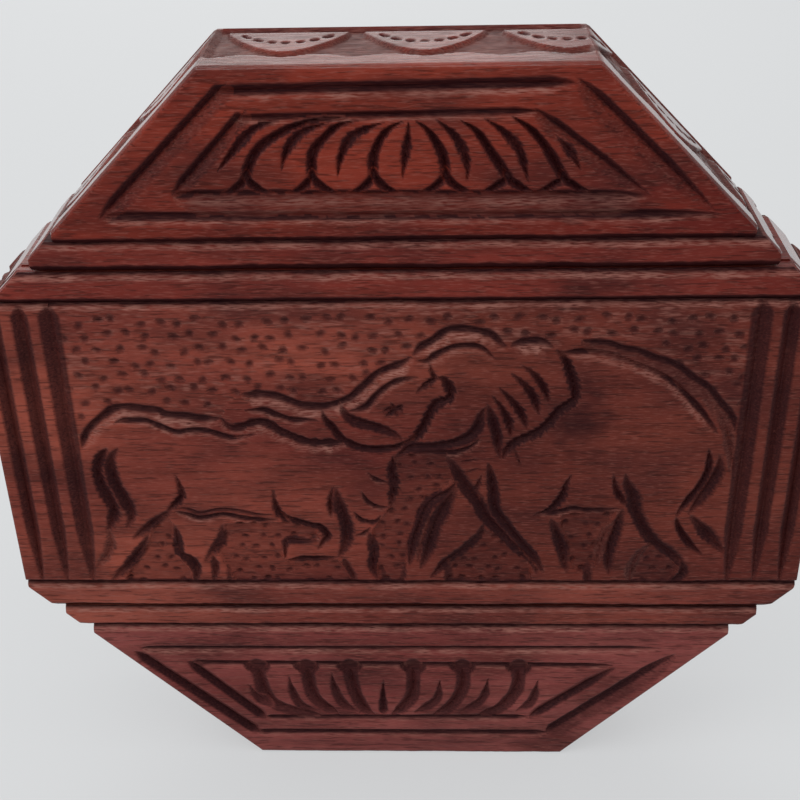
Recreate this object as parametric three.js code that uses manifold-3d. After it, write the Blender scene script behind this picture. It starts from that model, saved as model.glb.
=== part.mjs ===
// Carved octagonal puzzle box, standing on one edge of its octagon.
// Millimetres, +Z up, +X to the right of the carved front, which faces -Y.
// The origin is the middle of the underside.
// The box is a stack of boards: the V-grooves that run round it hide the seams between them.
import * as THREE from 'three';
import * as BufferGeometryUtils from 'three/addons/utils/BufferGeometryUtils.js';
import Module from 'manifold-3d';

const wasm = await Module();
wasm.setup();

// The octagon
const width = 180;
const height = 176;
const depth = 30;
const cornerRun = 52;
const lowerCorner = 53;
const upperCorner = 123;

// The boards of the stack, from the foot up
const baseHeight = 41;
const trayHeight = 6;
const floorHeight = 7;
const panelHeight = 73;
const railFrameHeight = 7;
const lidBoardHeight = 6.5;

// Gaps
const slideGap = 0.3;
const dowelGap = 0.15;

// V-grooves that hide the seams, as the chamfer on each board's edge
const seamChamfer = 1.5;
const lidSeamChamfer = 2;
const edgeBreak = 0.6;
const sideNotch = 2.1;
const lidSideNotch = 2.8;
const panelSideNotch = 1;

// Panels, end blocks and the compartment between them
const panelThickness = 7.5;
const postWidth = 16.5;
const postTongueLength = 14.5;

// Key tray, the front half of its layer
const trayDepth = 12;
const trayTravel = 75;
const trayRibWidth = 2;
const trayRibHeight = 2;
const trayRibY = -5;
const trayRibLeftInset = 3.5;
const trayRibRightInset = 13.5;
const trayPegX = 6;
const trayPegY = -9;
const trayPegDiameter = 3;
const trayPegSeat = 8;
const trayPegRise = 3;
const keyPocketStart = 12;
const keyPocketLength = 36;
const keyPocketWidth = 8;
const keyPocketFloor = 1.9;
const keyPocketY = -8.5;

// Key
const keyPinDiameter = 2.4;
const keyBitReach = 3.6;
const keyBitLength = 3;
const keyBitThickness = 1.6;
const keyBowDiameter = 7.4;
const keyBowHole = 4;
const keyLength = 33;

// Keyhole, lock bolt and its chamber
const lockInset = 5.5;
const keyholeRise = 2.6;
const keyholePlateLength = 13;
const keyholePlateHeight = 5.8;
const keyholePlateThickness = 0.8;
const boltWidth = 12;
const boltThickness = 4;
const boltTail = 15;
const boltWindowWidth = 8.4;
const boltTravel = 2.4;

// Keyhole slide, the front bar of the rail frame's layer
const slideDepth = 5;
const slideTravel = 28;
const tongueDepth = 1.7;
const tongueNeck = 1.6;
const tongueHead = 3.2;
const tongueInset = 3.5;
const tongueToLock = 18;
const coverPegX = 0;
const coverPegY = -12;
const coverPegDiameter = 2;
const coverPegSeat = 7;
const coverPegRise = 2.3;

// Lid rails beside the mouth of the compartment
const mouthLip = 2;
const mouthDepth = 12.4;
const railPastCompartment = 1;
const railFoot = 2.6;
const railHead = 4.2;
const railRise = 3.5;

// Dowels
const baseDowelDiameter = 6;
const baseDowelX = 40;
const baseDowelY = 7;
const baseDowelLength = 26;
const baseDowelDepth = 15;
const postDowelDiameter = 3.5;
const postDowelInset = 3.5;
const postDowelY = 10;
const postDowelLength = 11;
const lidDowelDiameter = 5;
const lidDowelX = 35;
const lidDowelLength = 15;
const lidDowelDepth = 4;

// Carving on the front and the back
const fluteWidth = 2.4;
const flutePitch = 6.1;
const flutesPerSide = 3;
const fluteMargin = 2.5;
const borderGrooveWidth = 2.6;
const fieldGrooveWidth = 1.8;
const upperBorder = { top: 171, topHalf: 34.5, bottom: 146, bottomHalf: 59.5 };
const upperField = { top: 166.5, topHalf: 29, bottom: 150.4, bottomHalf: 46 };
const lowerBorder = { top: 33, topHalf: 62.5, bottom: 7, bottomHalf: 35 };
const lowerField = { top: 29.6, topHalf: 51, bottom: 12, bottomHalf: 31 };
const petalPitch = 12.6;
const petalGaps = 3;
const petalGapWidth = 2.8;
const petalSlitWidth = 1.6;
const petalFan = 0.35;
const petalBend = 1.7;
const petalSteps = 3;

// Low petals over the top of the lid and its facets: middles along the surface, from the corner
const lowPetal = [[-12.5, 8], [-9.5, 0], [-4, -5], [4, -5], [9.5, 0], [12.5, 8]];
const lowPetalWidth = 2.6;
const lowPetalBack = 11;
const topPetals = [-22.5, 5, 33];
const leftFacetPetals = [12.5, 40.7];
const rightFacetPetals = [-5, 23.5];

// The two elephants, drawn on a panel of this size, in from its middle and up from its foot
const drawnHalf = 73.5;
const drawnHeight = 73;
const openGroundDepth = 0.4;
const legGroundDepth = 0.9;
const contourWidth = 2;
const backLine = [
  [-73.5, 36], [-71.5, 39], [-70, 43], [-64.5, 47], [-59.5, 48.3], [-49, 46], [-40, 46.5], [-34, 51.5],
  [-26.5, 50.5], [-18, 48.5], [-10, 51.5], [-4.5, 57.5], [5, 64], [13, 67], [20.5, 63.5], [28, 64],
  [36.5, 62.2], [46, 62.5], [52.5, 59.5], [58.5, 56], [64, 51], [69, 44], [72, 38.5], [73.5, 29]];
const legGrounds = [
  [[-51, 21], [-44, 19], [-42, 16], [-43.5, 8], [-39.5, 2.5], [-13.5, 2.5], [-16, 6], [-28.6, 8], [-27.5, 12],
    [-28.8, 19]],
  [[-62.5, 12.5], [-61, 10], [-66, 2.5], [-50, 2.5], [-50, 5.5], [-52.5, 10], [-53, 17], [-57.5, 17.5]],
  [[10, 34], [4, 37.5], [-2.5, 37], [-4, 27], [-9, 22], [-13, 14], [-8, 13.5], [-7.5, 4.5], [1, 2.5], [3.5, 7],
    [5, 15.5], [7, 22.5]],
  [[18, 16.5], [10, 7.5], [10, 2.5], [30, 2.5], [30, 4.5], [22, 15]],
  [[35.8, 21.5], [35, 12], [36.5, 5.5], [38, 2.5], [42, 2.5], [46.5, 4.5], [46.5, 12], [49.5, 21.5]],
  [[50, 23], [55.5, 11.5], [52, 2.5], [66, 2.5], [66, 3.5], [58.5, 12]]];
const contours = [
  [[32, 61.5], [36.5, 51.5], [32.5, 46.5], [25.5, 40], [21, 35.5], [18, 46.5]],
  [[5, 58], [9.5, 51.5], [5, 48], [-1, 38.5]],
  [[-1, 36.5], [8, 38.5], [15.5, 42.5], [18, 48]],
  [[-18, 47], [-11.5, 39.5], [-1, 38]],
  [[-36.5, 43.5], [-27, 41.5], [-11.5, 39], [-2.5, 38]],
  [[-65, 43.5], [-54.5, 43.5], [-35, 40.3]],
  [[42, 60], [53, 55], [63, 48], [67.5, 42]],
  [[23, 55.5], [28.5, 46.5]],
  [[-71.5, 38.5], [-69.5, 26], [-68.5, 8.5]],
  [[-67, 37.5], [-67, 23]],
  [[-16.5, 26.5], [-13, 14], [-12, 2.5]],
  [[68, 36], [68.5, 26], [61, 18.5], [68, 9]],
  [[18, 16.5], [6.5, 3]],
  [[10, 34], [15, 24], [21.5, 15], [30.5, 4.5]]];

// Number of sides of the turned pieces
const roundSides = 24;

// Heights worked out from the stack
const baseTop = baseHeight;
const trayTop = baseTop + trayHeight;
const floorTop = trayTop + floorHeight;
const panelTop = floorTop + panelHeight;
const railFrameTop = panelTop + railFrameHeight;
const lidBottom = railFrameTop + slideGap;
const lidBoardTop = railFrameTop + lidBoardHeight;

const halfDepth = depth / 2;
const halfWidth = width / 2;
const beyond = 10;
const postInner = halfWidth - postWidth;
const compartmentEnd = postInner - postTongueLength;
const lockX = postInner - lockInset;
const postDowelX = postInner + postDowelInset;
const railEnd = compartmentEnd + railPastCompartment;
const mouthEnd = compartmentEnd - mouthLip;
const trayRibStart = -postInner + trayRibLeftInset;
const trayRibEnd = postInner - trayRibRightInset;
const tongueStart = -postInner + tongueInset;
const tongueEnd = lockX - tongueToLock;
const panelInner = halfDepth - panelThickness;
const slideBack = -halfDepth + slideDepth - slideGap;
const frameFront = -halfDepth + slideDepth;
const keyholeZ = panelTop + keyholeRise;

const varnishedWood = new THREE.MeshStandardMaterial({ color: 0x7a3a2c, roughness: 0.4, metalness: 0 });
const innerWood = new THREE.MeshStandardMaterial({ color: 0xa8714c, roughness: 0.7, metalness: 0 });
const brass = new THREE.MeshStandardMaterial({ color: 0xb08d45, roughness: 0.35, metalness: 1 });

// Closed three.js geometry to solid
function toSolid(geometry) {
  const bare = geometry.index ? geometry.toNonIndexed() : geometry;
  bare.deleteAttribute('normal');
  bare.deleteAttribute('uv');
  const merged = BufferGeometryUtils.mergeVertices(bare, 1e-5);
  const vertProperties = new Float32Array(merged.attributes.position.array);
  const triVerts = new Uint32Array(merged.index.array);
  return new wasm.Manifold(new wasm.Mesh({ numProp: 3, vertProperties, triVerts }));
}

function extrude(points, length, basis, offset) {
  const shape = new THREE.Shape(points.map(([a, b]) => new THREE.Vector2(a, b)));
  const geometry = new THREE.ExtrudeGeometry(shape, { depth: length, bevelEnabled: false });
  geometry.applyMatrix4(basis);
  geometry.translate(offset.x, offset.y, offset.z);
  return toSolid(geometry);
}

const alongX = new THREE.Matrix4().makeBasis(
  new THREE.Vector3(0, 1, 0), new THREE.Vector3(0, 0, 1), new THREE.Vector3(1, 0, 0));
const alongY = new THREE.Matrix4().makeBasis(
  new THREE.Vector3(1, 0, 0), new THREE.Vector3(0, 0, 1), new THREE.Vector3(0, -1, 0));
const alongZ = new THREE.Matrix4();

// Prisms: outline points are (y, z), (x, z) and (x, y)
function prismX(points, x0, x1) {
  return extrude(points, x1 - x0, alongX, new THREE.Vector3(x0, 0, 0));
}

function prismY(points, y0, y1) {
  return extrude(points, y1 - y0, alongY, new THREE.Vector3(0, y1, 0));
}

function prismZ(points, z0, z1) {
  return extrude(points, z1 - z0, alongZ, new THREE.Vector3(0, 0, z0));
}

function block(x0, x1, y0, y1, z0, z1) {
  return prismZ([[x0, y0], [x1, y0], [x1, y1], [x0, y1]], z0, z1);
}

function rod(x, y, diameter, z0, z1) {
  const geometry = new THREE.CylinderGeometry(diameter / 2, diameter / 2, z1 - z0, roundSides);
  geometry.rotateX(Math.PI / 2);
  geometry.translate(x, y, (z0 + z1) / 2);
  return toSolid(geometry);
}

// A solid between two like outlines in planes of constant y
function loftY(nearPoints, nearY, farPoints, farY) {
  const count = nearPoints.length;
  const position = [];
  const corner = ([x, z], y) => position.push(x, y, z);
  for (let i = 0; i < count; i += 1) {
    const j = (i + 1) % count;
    corner(nearPoints[i], nearY);
    corner(farPoints[j], farY);
    corner(nearPoints[j], nearY);
    corner(nearPoints[i], nearY);
    corner(farPoints[i], farY);
    corner(farPoints[j], farY);
  }
  for (let i = 1; i < count - 1; i += 1) {
    corner(nearPoints[0], nearY);
    corner(nearPoints[i], nearY);
    corner(nearPoints[i + 1], nearY);
    corner(farPoints[0], farY);
    corner(farPoints[i + 1], farY);
    corner(farPoints[i], farY);
  }
  const geometry = new THREE.BufferGeometry();
  geometry.setAttribute('position', new THREE.Float32BufferAttribute(position, 3));
  return toSolid(geometry);
}

// Half the octagon's width at a height
function halfWidthAt(z) {
  if (z > upperCorner) {
    return halfWidth - (z - upperCorner) * cornerRun / (height - upperCorner);
  }
  if (z < lowerCorner) {
    return halfWidth - (lowerCorner - z) * cornerRun / lowerCorner;
  }
  return halfWidth;
}

// The octagon between two heights, with the side notches of the seams
function sliceOutline(z0, z1, lowNotch, highNotch) {
  const upperSlope = (height - upperCorner) / cornerRun;
  const lowerSlope = lowerCorner / cornerRun;
  const right = [];
  const low = halfWidthAt(z0);
  const high = halfWidthAt(z1);
  if (lowNotch > 0) {
    const rise = z0 >= upperCorner ? lowNotch * upperSlope : lowNotch;
    const back = z0 >= upperCorner ? low - lowNotch : low;
    right.push([low - lowNotch, z0], [back, z0 + rise]);
  } else {
    right.push([low, z0]);
  }
  for (const corner of [lowerCorner, upperCorner]) {
    if (corner > z0 && corner < z1) {
      right.push([halfWidth, corner]);
    }
  }
  if (highNotch > 0) {
    right.push([high - highNotch, z1 - highNotch * lowerSlope], [high - highNotch, z1]);
  } else {
    right.push([high, z1]);
  }
  const left = right.map(([x, z]) => [-x, z]).reverse();
  return [...right, ...left];
}

// A board's section, with its front and back edges chamfered
function boardSection(y0, y1, z0, z1, lowChamfer, highChamfer, front = true, back = true) {
  const points = [];
  const edge = (chamfered, size, plain, cut) => points.push(...(chamfered && size > 0 ? cut : [plain]));
  edge(front, lowChamfer, [y0, z0], [[y0, z0 + lowChamfer], [y0 + lowChamfer, z0]]);
  edge(back, lowChamfer, [y1, z0], [[y1 - lowChamfer, z0], [y1, z0 + lowChamfer]]);
  edge(back, highChamfer, [y1, z1], [[y1, z1 - highChamfer], [y1 - highChamfer, z1]]);
  edge(front, highChamfer, [y0, z1], [[y0 + highChamfer, z1], [y0, z1 - highChamfer]]);
  return points;
}

function board(outline, section) {
  return prismY(outline, -halfDepth - beyond, halfDepth + beyond)
    .intersect(prismX(section, -halfWidth - beyond, halfWidth + beyond));
}

// An outline with every edge moved outwards by a distance
function offsetOutline(points, distance) {
  const count = points.length;
  const lines = points.map(([x, z], i) => {
    const [nextX, nextZ] = points[(i + 1) % count];
    const length = Math.hypot(nextX - x, nextZ - z);
    const normal = [(nextZ - z) / length, (x - nextX) / length];
    return { normal, reach: normal[0] * x + normal[1] * z + distance };
  });
  return lines.map((line, i) => {
    const before = lines[(i + count - 1) % count];
    const cross = before.normal[0] * line.normal[1] - before.normal[1] * line.normal[0];
    const x = (before.reach * line.normal[1] - line.reach * before.normal[1]) / cross;
    const z = (before.normal[0] * line.reach - line.normal[0] * before.reach) / cross;
    return [x, z];
  });
}

// Both faces carry the same cuts: a cut made for the front is turned round for the back
function bothFaces(cut) {
  return cut.add(cut.rotate([0, 0, 180]));
}

// A V-groove that runs round a closed outline on the front
function grooveRound(points, grooveWidth) {
  const half = grooveWidth / 2;
  const outer = loftY(offsetOutline(points, half + 1), -halfDepth - 1, offsetOutline(points, 0), -halfDepth + half);
  const inner = loftY(offsetOutline(points, -half - 1), -halfDepth - 1, offsetOutline(points, 0), -halfDepth + half);
  return outer.subtract(inner);
}

// A V-tool cut on the front that runs out to a point at both ends
function chip([x0, z0], [x1, z1], cutWidth) {
  const length = Math.hypot(x1 - x0, z1 - z0);
  const half = cutWidth / 2;
  const across = [(z1 - z0) / length * half, (x0 - x1) / length * half];
  const middle = [(x0 + x1) / 2, (z0 + z1) / 2];
  const outline = (scale) => [
    [middle[0] + (x0 - middle[0]) * scale, middle[1] + (z0 - middle[1]) * scale],
    [middle[0] + across[0] * scale, middle[1] + across[1] * scale],
    [middle[0] + (x1 - middle[0]) * scale, middle[1] + (z1 - middle[1]) * scale],
    [middle[0] - across[0] * scale, middle[1] - across[1] * scale],
  ];
  const tip = 0.1;
  return loftY(outline(2 - tip), -halfDepth - half * (1 - tip), outline(tip), -halfDepth + half * (1 - tip));
}

function trapezoid({ top, topHalf, bottom, bottomHalf }) {
  return [[-bottomHalf, bottom], [bottomHalf, bottom], [topHalf, top], [-topHalf, top]];
}

// A V-groove on the front along a line of points
function veinCut(points, cutWidth) {
  const half = cutWidth / 2;
  const cuts = [];
  for (let i = 1; i < points.length; i += 1) {
    const [x0, z0] = points[i - 1];
    const [x1, z1] = points[i];
    const length = Math.hypot(x1 - x0, z1 - z0);
    const across = [(z1 - z0) / length * half, (x0 - x1) / length * half];
    const outline = (grow) => [
      [x0 - across[0] * grow, z0 - across[1] * grow], [x0 + across[0] * grow, z0 + across[1] * grow],
      [x1 + across[0] * grow, z1 + across[1] * grow], [x1 - across[0] * grow, z1 - across[1] * grow]];
    cuts.push(loftY(outline(2), -halfDepth - half, outline(0.05), -halfDepth + half));
  }
  return cuts.reduce((all, cut) => all.add(cut));
}

// Lotus petals that fan out from the middle of a field's narrow side
function petals(field, narrowIsTop) {
  const margin = fieldGrooveWidth;
  const wide = narrowIsTop ? field.bottom + margin / 2 : field.top - margin / 2;
  const narrow = narrowIsTop ? field.top - margin : field.bottom + margin;
  const curve = (x) => Array.from({ length: petalSteps + 1 }, (_, i) => {
    const t = i / petalSteps;
    return [x * (1 - (1 - petalFan) * t ** petalBend), wide + (narrow - wide) * t];
  });
  const cuts = [];
  for (const side of [-1, 1]) {
    for (let i = 0; i < petalGaps; i += 1) {
      cuts.push(veinCut(curve(side * petalPitch * (i + 0.5)), petalGapWidth));
    }
    for (let i = 1; i < petalGaps; i += 1) {
      cuts.push(veinCut(curve(side * petalPitch * i).slice(1), petalSlitWidth));
    }
  }
  cuts.push(chip([0, wide], [0, narrow], petalSlitWidth));
  return cuts.reduce((all, cut) => all.add(cut));
}

// A row of low petals, cut into a level top and then turned down onto a facet
function lowPetals(middles, cornerX, cornerZ, turn) {
  const cuts = middles.map((middle) => {
    const arc = veinCut(lowPetal.map(([along, back]) => [middle + along, back]), lowPetalWidth);
    const behind = veinCut(
      [[middle + lowPetal[0][0], lowPetalBack], [middle - lowPetal[0][0], lowPetalBack]], lowPetalWidth / 2);
    return arc.add(behind);
  });
  return cuts.reduce((all, cut) => all.add(cut))
    .translate([0, halfDepth, 0])
    .rotate([-90, 0, 0])
    .rotate([0, turn, 0])
    .translate([cornerX, 0, cornerZ]);
}

function borderCarving(border, field, narrowIsTop) {
  const rounds = grooveRound(trapezoid(border), borderGrooveWidth)
    .add(grooveRound(trapezoid(field), fieldGrooveWidth));
  return bothFaces(rounds.add(petals(field, narrowIsTop)));
}

// Upright flutes at both ends of the front and the back: the first one hides the panel's end seam
function flutes() {
  const half = fluteWidth / 2;
  const low = floorTop + fluteMargin;
  const high = panelTop - fluteMargin;
  const outline = (x, grow) => [
    [x - half * grow, low], [x + half * grow, low], [x + half * grow, high], [x - half * grow, high]];
  const cuts = [];
  for (const side of [-1, 1]) {
    for (let i = 0; i < flutesPerSide; i += 1) {
      const x = side * (postInner + flutePitch * i);
      cuts.push(loftY(outline(x, 2), -halfDepth - half, outline(x, 0.05), -halfDepth + half));
    }
  }
  return bothFaces(cuts.reduce((all, cut) => all.add(cut)));
}

const fluteCuts = flutes();

// A dowel and its hole, upright
function dowelHole(x, y, diameter, z0, z1) {
  return rod(x, y, diameter + 2 * dowelGap, z0 - slideGap, z1 + slideGap);
}

const baseDowelBottom = baseTop - baseDowelDepth;
const baseDowelTop = baseDowelBottom + baseDowelLength;
const floorDowelBottom = floorTop - postDowelLength / 2;
const floorDowelTop = floorDowelBottom + postDowelLength;
const railDowelTop = panelTop + postDowelLength / 2;
const railDowelBottom = railDowelTop - postDowelLength;
const lidDowelBottom = lidBoardTop - lidDowelDepth;
const lidDowelTop = lidDowelBottom + lidDowelLength;

function dowelHoles(x, y, diameter, z0, z1) {
  return dowelHole(-x, y, diameter, z0, z1).add(dowelHole(x, y, diameter, z0, z1));
}

const baseDowelHoles = dowelHoles(baseDowelX, baseDowelY, baseDowelDiameter, baseDowelBottom, baseDowelTop);
const floorDowelHoles = dowelHoles(postDowelX, postDowelY, postDowelDiameter, floorDowelBottom, floorDowelTop);
const railDowelHoles = dowelHoles(postDowelX, postDowelY, postDowelDiameter, railDowelBottom, railDowelTop);
const lidDowelHoles = dowelHoles(lidDowelX, 0, lidDowelDiameter, lidDowelBottom, lidDowelTop);

// Base block, with the groove that the tray's rib runs in and the stop peg's hole
function baseBlock() {
  const body = board(
    sliceOutline(0, baseTop, 0, sideNotch),
    boardSection(-halfDepth, halfDepth, 0, baseTop, edgeBreak, seamChamfer));
  const ribGroove = block(
    trayRibStart - slideGap, halfWidth + beyond,
    trayRibY - trayRibWidth / 2 - slideGap, trayRibY + trayRibWidth / 2 + slideGap,
    baseTop - trayRibHeight - slideGap, baseTop + 1);
  const pegHole = rod(
    trayPegX, trayPegY, trayPegDiameter + 2 * dowelGap, baseTop - trayPegSeat - slideGap, baseTop + 1);
  return body
    .subtract(borderCarving(lowerBorder, lowerField, false))
    .subtract(ribGroove)
    .subtract(pegHole)
    .subtract(baseDowelHoles);
}

// Rear half of the tray's layer, glued down
function baseBoard() {
  const body = board(
    sliceOutline(baseTop, trayTop, 0, sideNotch),
    boardSection(-halfDepth + trayDepth + slideGap, halfDepth, baseTop, trayTop, seamChamfer, seamChamfer, false));
  return body.subtract(baseDowelHoles);
}

// Key tray: the front half of the layer slides out to the right with the key
function keyTray() {
  const low = baseTop + slideGap;
  const high = trayTop - slideGap;
  const chamfer = seamChamfer - slideGap;
  const body = board(
    sliceOutline(low, high, 0, sideNotch),
    boardSection(-halfDepth, -halfDepth + trayDepth, low, high, chamfer, chamfer, true, false));
  const rib = block(
    trayRibStart, trayRibEnd, trayRibY - trayRibWidth / 2, trayRibY + trayRibWidth / 2,
    baseTop - trayRibHeight, low);
  const pocket = block(
    keyPocketStart, keyPocketStart + keyPocketLength,
    keyPocketY - keyPocketWidth / 2, keyPocketY + keyPocketWidth / 2,
    low + keyPocketFloor, high + 1);
  const slotHalf = trayPegDiameter / 2 + slideGap;
  const pegSlot = block(
    trayPegX - trayTravel - slotHalf, trayPegX + slotHalf,
    trayPegY - slotHalf, trayPegY + slotHalf,
    low - 1, baseTop + trayPegRise + slideGap);
  return body.add(rib).subtract(pocket).subtract(pegSlot);
}

function trayStopPeg() {
  return rod(trayPegX, trayPegY, trayPegDiameter, baseTop - trayPegSeat, baseTop + trayPegRise);
}

// Key, lying in its pocket with the bow to the left
function key() {
  const bottom = baseTop + slideGap + keyPocketFloor + slideGap;
  const middle = bottom + keyPinDiameter / 2;
  const bowX = keyPocketStart + slideGap + 1 + keyBowDiameter / 2;
  const tipX = keyPocketStart + slideGap + 1 + keyLength;
  const bow = rod(bowX, keyPocketY, keyBowDiameter, bottom, bottom + keyPinDiameter)
    .subtract(rod(bowX, keyPocketY, keyBowHole, bottom - 1, bottom + keyPinDiameter + 1));
  const pin = new THREE.CylinderGeometry(
    keyPinDiameter / 2, keyPinDiameter / 2, tipX - bowX - keyBowHole / 2 - 0.5, roundSides / 2);
  pin.rotateZ(Math.PI / 2);
  pin.translate((tipX + bowX + keyBowHole / 2 + 0.5) / 2, keyPocketY, middle);
  const bit = block(
    tipX - keyBitLength, tipX, keyPocketY, keyPocketY + keyBitReach,
    middle - keyBitThickness / 2, middle + keyBitThickness / 2);
  return bow.add(toSolid(pin)).add(bit);
}

// Floor board of the compartment
function floorBoard() {
  const body = board(
    sliceOutline(trayTop, floorTop, 0, 0),
    boardSection(-halfDepth, halfDepth, trayTop, floorTop, seamChamfer, seamChamfer));
  return body.subtract(baseDowelHoles).subtract(floorDowelHoles);
}

// Front and back panels, between the end blocks' posts
function panel(front) {
  const y0 = front ? -halfDepth : panelInner;
  const section = boardSection(
    y0, y0 + panelThickness, floorTop, panelTop, seamChamfer, seamChamfer, front, !front);
  return prismX(section, -postInner, postInner).subtract(fluteCuts);
}

// The elephants stand in relief: the ground over their backs and between their legs is sunk
function elephants() {
  const place = ([across, up]) => [
    across / drawnHalf * postInner, floorTop + up / drawnHeight * panelHeight];
  const over = [[drawnHalf + 1, drawnHeight + 1], [-drawnHalf - 1, drawnHeight + 1]];
  const edges = [[-drawnHalf - 1, backLine[0][1]], ...backLine, [drawnHalf + 1, backLine[backLine.length - 1][1]]];
  const openGround = prismY(
    [...edges, ...over].map(place), -halfDepth - 1, -halfDepth + openGroundDepth);
  const sunk = legGrounds.map((corners) => prismY(
    corners.map(place), -halfDepth - 1, -halfDepth + legGroundDepth));
  const cuts = [backLine.slice(1, -1), ...contours].map((line) => veinCut(line.map(place), contourWidth));
  return [...sunk, ...cuts].reduce((all, cut) => all.add(cut), openGround);
}

function frontPanel() {
  const pegHole = rod(
    coverPegX, coverPegY, coverPegDiameter + 2 * dowelGap, panelTop - coverPegSeat - slideGap, panelTop + 1);
  return panel(true).subtract(pegHole).subtract(elephants());
}

// End block: a full-depth post, and a tongue that fits between the panels
function endBlock(side) {
  const outline = sliceOutline(floorTop, panelTop, panelSideNotch, 0);
  const slab = board(outline, boardSection(
    -halfDepth, halfDepth, floorTop, panelTop, seamChamfer, seamChamfer));
  const low = floorTop - 1;
  const high = panelTop + 1;
  const post = side > 0
    ? block(postInner, halfWidth + 1, -halfDepth - 1, halfDepth + 1, low, high)
    : block(-halfWidth - 1, -postInner, -halfDepth - 1, halfDepth + 1, low, high);
  const tongue = side > 0
    ? block(compartmentEnd, postInner, -panelInner, panelInner, low, high)
    : block(-postInner, -compartmentEnd, -panelInner, panelInner, low, high);
  return slab.intersect(post.add(tongue))
    .subtract(fluteCuts)
    .subtract(floorDowelHoles)
    .subtract(railDowelHoles);
}

const boltBottom = keyholeZ - boltTail;
const boltHigh = railFrameTop - slideGap;

function boltRoom(z0, z1) {
  const halfLength = boltWidth / 2 + slideGap;
  const halfThickness = boltThickness / 2 + slideGap;
  return block(lockX - halfLength, lockX + halfLength, -halfThickness, halfThickness, z0, z1);
}

function rightEndBlock() {
  return endBlock(1).subtract(boltRoom(boltBottom - slideGap, panelTop + 1));
}

// Lock bolt: the key's bit turns in its window and lifts it into the lid
function lockBolt() {
  const plate = block(
    lockX - boltWidth / 2, lockX + boltWidth / 2, -boltThickness / 2, boltThickness / 2, boltBottom, boltHigh);
  const windowLow = keyholeZ - keyBitReach - slideGap;
  const windowHigh = keyholeZ + keyPinDiameter / 2 + slideGap;
  const window = block(
    lockX - boltWindowWidth / 2, lockX + boltWindowWidth / 2,
    -boltThickness, boltThickness, windowLow, windowHigh);
  return plate.subtract(window);
}

// Keyhole: a round hole for the pin and a level slot for the bit
function keyhole(y0, y1) {
  const pin = new THREE.CylinderGeometry(
    keyPinDiameter / 2 + slideGap, keyPinDiameter / 2 + slideGap, y1 - y0, roundSides / 2);
  pin.translate(lockX, (y0 + y1) / 2, keyholeZ);
  const slot = block(
    lockX, lockX + keyBitReach + slideGap, y0, y1,
    keyholeZ - keyBitThickness / 2 - slideGap, keyholeZ + keyBitThickness / 2 + slideGap);
  return toSolid(pin).add(slot);
}

function keyholePlateOutline(grow) {
  const halfLength = keyholePlateLength / 2 + grow;
  const halfHeight = keyholePlateHeight / 2 + grow;
  const middle = (panelTop + railFrameTop) / 2;
  return [
    [lockX - halfLength, middle - halfHeight], [lockX + halfLength, middle - halfHeight],
    [lockX + halfLength, middle + halfHeight], [lockX - halfLength, middle + halfHeight]];
}

// Brass keyhole plate, let in flush behind the keyhole slide
function escutcheon() {
  return prismY(keyholePlateOutline(0), frameFront, frameFront + keyholePlateThickness)
    .subtract(keyhole(frameFront - 1, frameFront + keyholePlateThickness + 1));
}

// The dovetail tongue on the back of the keyhole slide, and its groove
function slideTongue(grow) {
  const middle = (panelTop + railFrameTop) / 2;
  const neck = tongueNeck / 2 + grow;
  const head = tongueHead / 2 + grow;
  const front = grow > 0 ? frameFront - 1 : slideBack - 0.5;
  return [
    [front, middle - neck], [slideBack, middle - neck], [slideBack + tongueDepth + grow, middle - head],
    [slideBack + tongueDepth + grow, middle + head], [slideBack, middle + neck], [front, middle + neck]];
}

// Rail frame: the board round the compartment's mouth, which carries the lid rails
function railFrame() {
  const body = board(
    sliceOutline(panelTop, railFrameTop, sideNotch, 0),
    boardSection(frameFront, halfDepth, panelTop, railFrameTop, seamChamfer, lidSeamChamfer, false));
  const mouth = block(
    -mouthEnd, mouthEnd, -mouthDepth / 2, mouthDepth / 2, panelTop - 1, railFrameTop + 1);
  const tongueGroove = prismX(slideTongue(slideGap), -halfWidth - beyond, tongueEnd + slideGap);
  const plateSeat = prismY(keyholePlateOutline(0), frameFront - 1, frameFront + keyholePlateThickness);
  return body
    .subtract(mouth)
    .subtract(boltRoom(panelTop - 1, railFrameTop + 1))
    .subtract(tongueGroove)
    .subtract(plateSeat)
    .subtract(keyhole(frameFront, 0))
    .subtract(railDowelHoles);
}

// Keyhole slide: the front bar of the layer slides to the left and bares the keyhole
function keyholeSlide() {
  const low = panelTop + slideGap;
  const high = railFrameTop - slideGap;
  const body = board(
    sliceOutline(low, high, sideNotch, 0),
    boardSection(
      -halfDepth, slideBack, low, high, seamChamfer - slideGap, lidSeamChamfer - slideGap, true, false));
  const tongue = prismX(slideTongue(0), tongueStart, tongueEnd);
  const slotHalf = coverPegDiameter / 2 + slideGap;
  const pegSlot = block(
    coverPegX - slotHalf, coverPegX + slideTravel + slotHalf,
    coverPegY - slotHalf, slideBack + 1,
    low - 1, panelTop + coverPegRise + slideGap);
  return body.subtract(pegSlot).add(tongue);
}

function coverStopPeg() {
  return rod(coverPegX, coverPegY, coverPegDiameter, panelTop - coverPegSeat, panelTop + coverPegRise);
}

// Half-dovetail rail section on one side of the mouth, and the groove that rides on it
function railSection(side, grow) {
  const inner = mouthDepth / 2 + slideGap;
  const low = railFrameTop;
  const points = [
    [inner - grow, low], [inner + railFoot + grow, low],
    [inner + railHead + grow, low + railRise + grow], [inner - grow, low + railRise + grow]];
  return points.map(([y, z]) => [side * y, z]);
}

function lidRail(side) {
  return prismX(railSection(side, 0), -railEnd, railEnd);
}

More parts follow.
